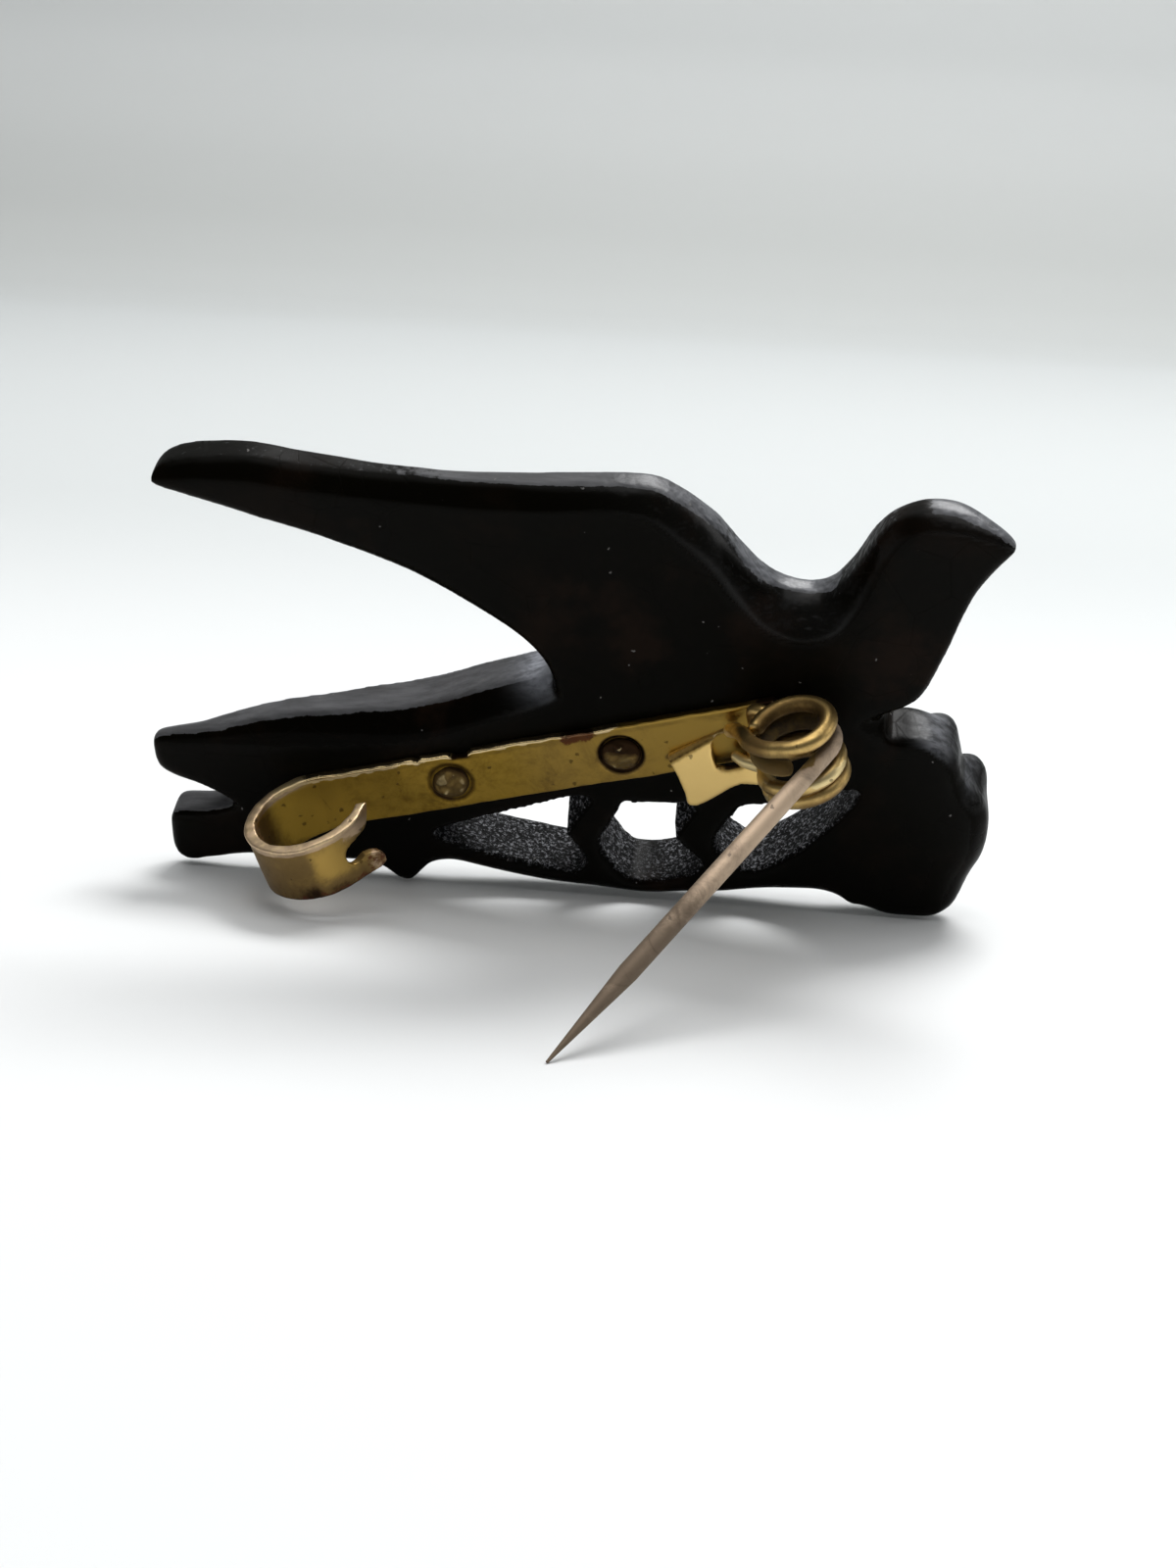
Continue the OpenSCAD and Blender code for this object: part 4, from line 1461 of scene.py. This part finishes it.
@dataclass
class RivetHeads:
    """The two hammered rivet heads.

    Attributes:
        nodes_replaced: The CAD nodes that they replace.
        places: Each rivet's u.
        radius: A head's radius.
        rise: The height of its dome.
        base: The n of its rim.
        sides: How many sides it has.
        beat_seeds: The random seed of each head's hammer marks.
        beat_size: How long the hammer marks are.
        beat_rise: How high they are.
        turns: How each head is turned.
        sizes: How each head is scaled.
    """

    nodes_replaced: tuple[str, str] = ("rivet_left", "rivet_right")
    places: FLOAT2 = BrassStrip.rivets
    radius: float = 1.16
    rise: float = 0.34
    base: float = 0.47
    sides: int = 84
    beat_seeds: tuple[int, int] = (41, 45)
    beat_size: float = 0.85
    beat_rise: float = 0.07
    turns: tuple[FLOAT3, FLOAT3] = ((0.02, 0.03, 0.4), (-0.03, 0.02, 2.3))
    sizes: tuple[FLOAT3, FLOAT3] = ((1.0, 0.96, 0.95), (0.98, 1.03, 1.1))

    def head(self) -> bpy.types.Object:
        """Make one head: a low dome with a flattened, uneven top and a turned down rim.

        Returns:
            The head, standing at the origin.
        """
        profile = [(0.0, 1.0), (0.25, 0.99), (0.5, 0.95), (0.72, 0.82), (0.88, 0.58), (0.97, 0.25),
                   (1.0, 0.0), (0.97, -0.2), (0.8, -0.3), (0.0, -0.3)]
        rows = through([(x, y, 0.0) for x, y in profile], 4)
        work = bmesh.new()
        turns = np.arange(self.sides) * FULL_TURN / self.sides
        circles = []
        for x, y, _ in rows:
            r, spokes = x * self.radius, turns if x > 1e-3 else [0.0]
            circles.append([work.verts.new((r * math.cos(t), r * math.sin(t), y * self.rise))
                            for t in spokes])
        for one, other in zip(circles, circles[1:]):
            for i in range(self.sides):
                j = (i + 1) % self.sides
                ring = [one[i % len(one)], other[i % len(other)], other[j % len(other)],
                        one[j % len(one)]]
                work.faces.new(list(dict.fromkeys(ring)))
        bmesh.ops.recalc_face_normals(work, faces=work.faces)
        mesh = bpy.data.meshes.new("head")
        work.to_mesh(mesh)
        work.free()
        points = read_points(mesh)
        x, y, z = points.T
        spin = np.arctan2(y, x)
        wide = 1.0 + (0.035 * np.sin(2 * spin + 0.7) + 0.02 * np.sin(3 * spin)
                      + 0.012 * np.sin(7 * spin))
        high = ramp(z, 0.0, self.rise)
        dents = 0.06 * ripple(points * (1, 1, 0), 0.8, 21) + 0.035 * ripple(points, 0.35, 22)
        write_points(mesh, np.stack([x * wide, y * wide, z + dents * high], 1))
        return make_object("head", mesh)

    def build(self, tree: HeadNodes, material: bpy.types.Material) -> bpy.types.Object:
        """Set both heads.

        Args:
            tree: The tree that sets them.
            material: Their material.

        Returns:
            The finished piece.
        """
        head = self.head()
        mesh = bpy.data.meshes.new("rivet_places")
        mesh.from_pydata([(u, 0.0, self.base) for u in self.places], [], [])
        for name, values in (("turn", self.turns), ("size", self.sizes)):
            layer = mesh.attributes.new(name, "FLOAT_VECTOR", "POINT")
            layer.data.foreach_set("vector", np.ravel(values))
        made = tree.run(make_object("rivet_places", mesh), "rivet_heads", Head=head,
                        Material=material)
        bpy.data.objects.remove(head)
        work = made.data
        points, edges = read_points(work), read_edges(work)
        u, w, n = points.T
        on_right = u > self.places[1] / 2.0
        far = np.hypot(u - np.where(on_right, *self.places[::-1]), w)
        inner = 1.0 - ramp(far, 0.75, 0.95)
        swell = np.where(on_right, *(ripple(points * (1, 1, 0), self.beat_size, seed)
                                     for seed in self.beat_seeds[::-1]))
        beaten = ramp(swell, 0.1, 0.6) * inner
        n += self.beat_rise * beaten * (n > self.base)
        write_points(work, points)
        proud = bulge(points, read_normals(work), edges, 5)
        # shaded: painted shadow and dirt over the right head's upper part, laid into the stain.
        shaded = on_right * ramp(w + 0.3 * u, 3.18, 3.68)
        write_masks(work, edge=0.6 * ramp(proud, 0.004, 0.022) * inner, patch=0.9 * beaten,
                    stain=0.1 + 0.8 * ramp(far, 0.85, 1.15) + 1.1 * shaded)
        write_points(work, place_strip(points))
        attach(made, "brooch")
        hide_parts(*self.nodes_replaced)
        return made


@dataclass
class Wires:
    """The wound wire: the rings that stay still, and the ring with the needle.

    Attributes:
        ring_u: The u of the rings' axis.
        ring_n: The n of the rings' axis.
        ring_r: The rings' radius, to the wire's middle.
        wire: The wire's radius.
        step: About how many degrees lie between two points of a ring.
        needle: The needle's radius.
        start: The place on its ring at which the needle leaves.
        length: The needle's length, from its ring to its point.
        neck: The length over which the wire grows to the needle's radius.
        point: The length of the sharpened point.
        tip: The point's radius at its end.
        bend: How far the point lies across the strip from the place where the needle leaves.
        needle_w: The w at which the needle leaves its ring.
    """

    ring_u: float = 21.45
    ring_n: float = 3.5
    ring_r: float = 2.2
    wire: float = 0.5
    step: float = 7.5
    needle: float = 0.57
    start: float = math.radians(32.6)
    length: float = 26.1
    neck: float = 5.0
    point: float = 7.0
    tip: float = 0.08
    bend: float = 0.48
    needle_w: float = 0.78

    def on_ring(self, degrees: float, w: float) -> tuple[float, ...]:
        """Find a point of a ring.

        Args:
            degrees: Its angle round the rings' axis.
            w: Its place across the strip.

        Returns:
            The point as u, w and n, and the wire's radius.
        """
        turn = math.radians(degrees)
        return (self.ring_u + self.ring_r * math.cos(turn), w,
                self.ring_n + self.ring_r * math.sin(turn), self.wire)

    def wind(self, stations: Sequence[FLOAT2]) -> list[tuple[float, ...]]:
        """Wind a helix.

        Args:
            stations: Rising angles, in degrees, each with its place across the strip.

        Returns:
            The wire's points, each with its radius.
        """
        angles, places = zip(*stations)
        steps = int((angles[-1] - angles[0]) / self.step)
        turns = np.linspace(angles[0], angles[-1], steps + 1)
        across = np.interp(turns, angles, places)
        return [self.on_ring(t, w) for t, w in zip(turns, across)]

    def sweep(self, paths: Sequence[np.ndarray], tree: WireNodes, name: str,
              material: bpy.types.Material) -> bpy.types.Object:
        """Sweep wires along paths given as u, w, n and radius, and place them.

        Args:
            paths: One array for each wire.
            tree: The sweeping tree.
            name: The piece's name.
            material: Its material.

        Returns:
            The wires as one plain mesh object.
        """
        curve = bpy.data.curves.new(name, "CURVE")
        curve.dimensions = "3D"
        for path in paths:
            spline = curve.splines.new("POLY")
            spline.points.add(len(path) - 1)
            spline.points.foreach_set("co", np.c_[path[:, :3], np.ones(len(path))].ravel())
            spline.points.foreach_set("radius", path[:, 3].astype(np.float32))
        made = tree.run(make_object(name, curve), name, Material=material)
        mesh = made.data
        weld(mesh, 1e-5)
        shade_smooth(mesh)
        points = read_points(mesh)
        stain, patch = self.masks(points)
        write_masks(mesh, edge=np.zeros(len(points)), stain=stain, patch=patch)
        write_points(mesh, place_strip(points))
        return made

    def masks(self, points: np.ndarray) -> tuple[np.ndarray, np.ndarray]:
        """Place the dark stain inside the rings and in the grooves, with painted shade inside the
        rings and along the needle, and the pale skin with its painted highlights.

        Args:
            points: The places as u, w and n.

        Returns:
            The stain with its painted shade, and the pale skin: painted highlights on the ends and
            on the strand that catches the light, and the skin of the needle's ring.
        """
        u, w, n = points.T
        far = np.hypot(u - self.ring_u, n - self.ring_n)
        # inside: dirt and painted shade on the rings' inner sides.
        inside = 1.0 - ramp(far, self.ring_r - 0.45, self.ring_r + 0.05)
        dirt = ramp(n, 3.6, 5.0) * (1.0 - ramp(u, 19.6, 20.6)) * ramp(w, 1.2, 1.7)
        grooves = sum(hump(w, groove, 0.13) for groove in (1.35, 0.3, -0.95))
        low = ramp(-w, 1.3, 1.8) * ramp(u, 20.8, 22.0)
        coil = 0.75 * inside + 0.5 * dirt + 0.6 * grooves + 0.5 * low
        coil *= 1.0 - ramp(np.abs(far - self.ring_r), 0.7, 1.0)
        # needle: painted shade that darkens the needle towards its point; next to the coil it is a
        # little lighter.
        needle = ramp(far, 3.0, 5.0) * (0.75 * ramp(far, 8.0, 18.0) - 0.22)
        # end and highlight_strand: painted highlights on the wire's ends by the tab and on the
        # strand below the needle; ring: the skin of the needle's ring.
        end = (1.0 - ramp(u, 19.6, 20.6)) * ramp(n, 0.9, 1.4) * (w < 1.3) * (n < 5.0)
        highlight_strand = ramp(u, 21.6, 22.6) * hump(w, -0.45, 0.3) * ramp(n, 3.6, 4.6)
        ring = (w < 1.45) * (w > 0.35) * (1.0 - ramp(u, 22.2, 23.2)) * (1.0 - ramp(far, 2.9, 3.3))
        pale = np.maximum.reduce([end, highlight_strand, ring]) * (far < self.ring_r + 2.6)
        return coil + needle, pale

    @staticmethod
    def rounded(path: np.ndarray, end: bool = True) -> np.ndarray:
        """Round off a wire's cut ends by shrinking its last points.

        Args:
            path: The wire's points, each with its radius.
            end: Whether its far end is rounded too.

        Returns:
            The new points.
        """
        for side in (1, -1) if end else (1,):
            rows = path[::side]
            along = np.r_[0.0, np.cumsum(np.linalg.norm(np.diff(rows[:, :3], axis=0), axis=1))]
            keep = rows[0, 3]
            extra = []
            for share in (0.04, 0.15, 0.32, 0.6):
                place = [np.interp(share * keep * 0.7, along, rows[:, k]) for k in range(3)]
                extra.append([*place, keep * (0.25 + 0.75 * math.sqrt(1 - (1 - share) ** 2))])
            path = np.vstack([extra, rows[along > 0.6 * keep]])[::side]
        return path

    def build_spring(self, tree: WireNodes, material: bpy.types.Material) -> bpy.types.Object:
        """Wind the rings that stay still, with the knob, the link and the tail.

        Args:
            tree: The sweeping tree.
            material: The wire's material.

        Returns:
            The finished piece.
        """
        r = self.wire
        top = self.wind([(-170, 1.9), (-90, 2.05), (0, 2.13), (90, 2.1), (128, 2.05)])
        away = through([top[-6], top[-1], (19.1, 1.93, 4.25, r), (18.55, 1.75, 3.0, 0.47),
                        (18.0, 1.3, 1.9, 0.45), (17.55, 1.0, 1.35, 0.42),
                        (17.2, 0.92, 1.15, 0.36)], 5)
        upper = np.vstack([top[:-6], away])
        low = self.wind([(-165, -0.36), (0, -0.42), (360, -1.46), (505, -1.56)])
        tail = through([low[-6], low[-1], (19.0, -1.5, 2.15, 0.46), (18.4, -1.3, 1.85, 0.4),
                        (17.9, -1.12, 1.7, 0.36), (17.45, -0.98, 1.3, 0.34),
                        (17.2, -0.92, 1.05, 0.32)], 5)
        lower = np.vstack([low[:-6], tail])
        link = through([(20.0, 2.05, 1.7, 0.42), (19.2, 2.0, 1.25, 0.42), (19.0, 1.4, 1.12, 0.4),
                        (19.0, 0.4, 1.12, 0.4), (19.0, -0.5, 1.15, 0.4), (19.5, -0.6, 1.5, 0.42),
                        (20.2, -0.5, 1.8, 0.42)], 6)
        made = self.sweep([self.rounded(path) for path in (upper, lower, link)], tree,
                          "spring_wire", material)
        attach(made, "brooch")
        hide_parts("spring_coil")
        return made

    def build_needle(self, tree: WireNodes, material: bpy.types.Material) -> bpy.types.Object:
        """Wind the needle's own ring and draw the needle out of it to its point.

        Args:
            tree: The sweeping tree.
            material: The needle's material.

        Returns:
            The finished piece.
        """
        first = math.degrees(self.start) - 300.0
        ring = self.wind([(first, 0.88), (first + 120.0, 0.82), (first + 300.0, self.needle_w)])
        side = -self.bend / self.length
        flat = math.sqrt(1.0 - side * side)
        way = np.array([-math.sin(self.start) * flat, side, math.cos(self.start) * flat])
        origin = np.array(ring[-1][:3])
        places = np.r_[np.linspace(0.4, 5.0, 12), np.linspace(5.6, 19.1, 24),
                       np.linspace(19.4, 25.8, 22), 25.95, 26.04, self.length]
        thick = np.interp(places, [0.0, self.neck, self.length - self.point, self.length],
                          [self.wire, self.needle, self.needle, self.tip])
        shaft = [(*(origin + way * t), r) for t, r in zip(places, thick)]
        path = self.rounded(np.array(ring + shaft), end=False)
        made = self.sweep([path], tree, "needle", material)
        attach(made, "pin")
        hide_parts("pin_needle")
        return made


@dataclass(frozen=True)
class Lamp:
    """A soft light that faces the brooch.

    Attributes:
        name: The light's name.
        place: Where it hangs, in metres.
        size: Its width and height, in metres.
        power: Its power, in watts.
    """

    name: str
    place: FLOAT3
    size: FLOAT2
    power: float

    def hang(self, aim: FLOAT3) -> None:
        """Hang the light.

        Args:
            aim: The place that it faces, in metres.
        """
        light = bpy.data.lights.new(self.name, "AREA")
        light.shape = "RECTANGLE"
        light.size, light.size_y = self.size
        light.energy = self.power
        made = make_object(self.name, light)
        made.location = self.place
        way = Vector(aim) - Vector(self.place)
        made.rotation_euler = way.to_track_quat("-Z", "Y").to_euler()


@dataclass
class Studio:
    """The pale floor with its backdrop, the soft lights and the camera.

    Attributes:
        floor_colour: The floor near the brooch.
        painted_far_shade: The floor behind it, darker: painted shade.
        wall_colour: The backdrop's foot.
        painted_wall_light: The backdrop above its foot, lighter: painted light.
        painted_far_shade_span: Where the floor turns to its painted shade, as y in millimetres.
        wall_span: Where it turns to the wall's colour, as y in millimetres.
        painted_wall_light_span: Where the wall turns to its painted light, as z in millimetres.
        wall_y: Where the backdrop begins, in metres.
        sweep_r: The radius between floor and backdrop, in metres.
        half_size: Half the floor's width, in metres.
        eye: The camera's place, in metres.
        ahead: The way the camera looks.
        right: The way to the right of its picture.
        lens: Its focal length.
        aim: The place that the lights face, in metres.
        lamps: The lights.
        room_colour: The colour of the surroundings.
        room_strength: How bright the surroundings are.
    """

    floor_colour: FLOAT3 = (0.78, 0.79, 0.79)
    painted_far_shade: FLOAT3 = (0.55, 0.57, 0.57)
    wall_colour: FLOAT3 = (0.50, 0.515, 0.505)
    painted_wall_light: FLOAT3 = (0.675, 0.69, 0.685)
    painted_far_shade_span: FLOAT2 = (10.0, 160.0)
    wall_span: FLOAT2 = (370.0, 450.0)
    painted_wall_light_span: FLOAT2 = (15.0, 55.0)
    wall_y: float = 0.40
    sweep_r: float = 0.06
    half_size: float = 1.2
    eye: FLOAT3 = (0.01260, -0.13985, 0.04804)
    ahead: FLOAT3 = (-0.07365, 0.96311, -0.25882)
    right: FLOAT3 = (0.99469, 0.08965, 0.05055)
    lens: float = 59.4
    aim: FLOAT3 = (0.0, 0.0, 0.012)
    lamps: tuple[Lamp, ...] = (
        Lamp("window_behind", (0.10, 0.26, 0.42), (0.26, 0.18), 2.0),
        Lamp("ceiling", (0.0, 0.0, 1.0), (1.4, 1.4), 8.0),
        Lamp("front_fill", (-0.05, -0.20, 0.60), (0.30, 0.20), 0.3),
        Lamp("right_fill", (0.42, 0.02, 0.20), (0.18, 0.25), 0.3),
    )
    room_colour: FLOAT3 = (0.93, 0.97, 1.0)
    room_strength: float = 0.12

    def floor(self) -> None:
        """Lay the floor and raise the backdrop behind it in one sweep."""
        r, side = self.sweep_r, self.half_size
        rows = [(y, 0.0) for y in (-side, -0.3, 0.1, 0.3, self.wall_y)]
        rows += [(self.wall_y + r * math.sin(t), r - r * math.cos(t))
                 for t in np.radians([15, 30, 45, 60, 75, 90])]
        rows += [(self.wall_y + r, z) for z in (0.3, 0.9)]
        verts = [(x, y, z) for y, z in rows for x in (-side, side)]
        faces = [(2 * i, 2 * i + 1, 2 * i + 3, 2 * i + 2) for i in range(len(rows) - 1)]
        mesh = bpy.data.meshes.new("floor")
        mesh.from_pydata(verts, [], faces)
        shade_smooth(mesh)
        made = make_object("floor", mesh)
        material, sheet, shader = open_material("pale_floor")
        _, deep, high = sheet.add("ShaderNodeSeparateXYZ", {0: sheet.place()}).outputs
        # The floor is painted darker far back and the backdrop lighter higher up: painted shade and
        # painted light.
        colour = sheet.layers(self.floor_colour,
                              (sheet.ramp(deep, *self.painted_far_shade_span), self.painted_far_shade),
                              (sheet.ramp(deep, *self.wall_span), self.wall_colour),
                              (sheet.ramp(high, *self.painted_wall_light_span), self.painted_wall_light))
        sheet.fill(shader, {"Base Color": colour, "Roughness": 0.65, "Specular IOR Level": 0.2})
        mesh.materials.append(material)

    def lights(self) -> None:
        """Hang the lights and dim the surroundings."""
        for lamp in self.lamps:
            lamp.hang(self.aim)
        world = bpy.data.worlds.new("room")
        world.use_nodes = True
        ground = next(n for n in world.node_tree.nodes if n.type == "BACKGROUND")
        ground.inputs["Color"].default_value = (*self.room_colour, 1.0)
        ground.inputs["Strength"].default_value = self.room_strength
        bpy.context.scene.world = world

    def camera(self) -> None:
        """Set the camera up where the photograph was taken from."""
        data = bpy.data.cameras.new("camera")
        data.lens = self.lens
        data.clip_start, data.clip_end = 0.005, 10.0
        made = make_object("camera", data)
        ahead, right = Vector(self.ahead).normalized(), Vector(self.right).normalized()
        up = right.cross(ahead)
        turn = Matrix((right, up, -ahead)).transposed().to_4x4()
        made.matrix_world = Matrix.Translation(self.eye) @ turn
        bpy.context.scene.camera = made

    def build(self) -> None:
        """Build the stage."""
        self.floor()
        self.lights()
        self.camera()
        bpy.context.scene.view_settings.view_transform = "Standard"


def main() -> None:
    """Build the brooch piece by piece and report each one."""
    logging.basicConfig(level=logging.INFO, format="%(name)s: %(message)s")
    effects = Effects().build()
    wood = BlackWood().build(effects)
    strip = AgedBrass("strip_brass", pitted=1.2).build(effects)
    # The tab's brass is a lighter copy of the strip's: painted light on the tab.
    tab = AgedBrass("tab_brass_painted_light", amount=0.36, smooth=0.34, pitted=1.5, gold=(0.88, 0.62, 0.23),
                    tarnish=(0.42, 0.27, 0.08)).build(effects)
    head = AgedBrass("rivet_brass", amount=0.5, gold=(0.19, 0.125, 0.042), smooth=0.36,
                     tarnish=(0.08, 0.048, 0.018), bright=(0.5, 0.40, 0.22),
                     patch=(0.38, 0.29, 0.14)).build(effects)
    # The spring's patch colour is its painted highlight.
    spring = AgedBrass("spring_brass", amount=0.5, gold=(0.61, 0.42, 0.155),
                       tarnish=(0.23, 0.145, 0.052), dark=(0.055, 0.030, 0.009),
                       patch=(0.72, 0.58, 0.30)).build(effects)
    taupe = AgedBrass("needle_brass", amount=0.5, smooth=0.68, dull=0.76,
                      gold=(0.56, 0.44, 0.325), tarnish=(0.215, 0.166, 0.122),
                      dark=(0.10, 0.078, 0.062), patch=(0.27, 0.185, 0.065)).build(effects)
    sweep = WireNodes("wire_along_path").build()
    heads = HeadNodes("heads_on_points").build()
    wires = Wires()
    pieces = [
        CarvedBird().build(wood),
        *BrassStrip().build(strip, tab),
        RivetHeads().build(heads, head),
        wires.build_spring(sweep, spring),
        wires.build_needle(sweep, taupe),
    ]
    for made in pieces:
        log.info("%s: %d faces", made.name, len(made.data.polygons))
    Studio().build()


if __name__ == "__main__":
    main()
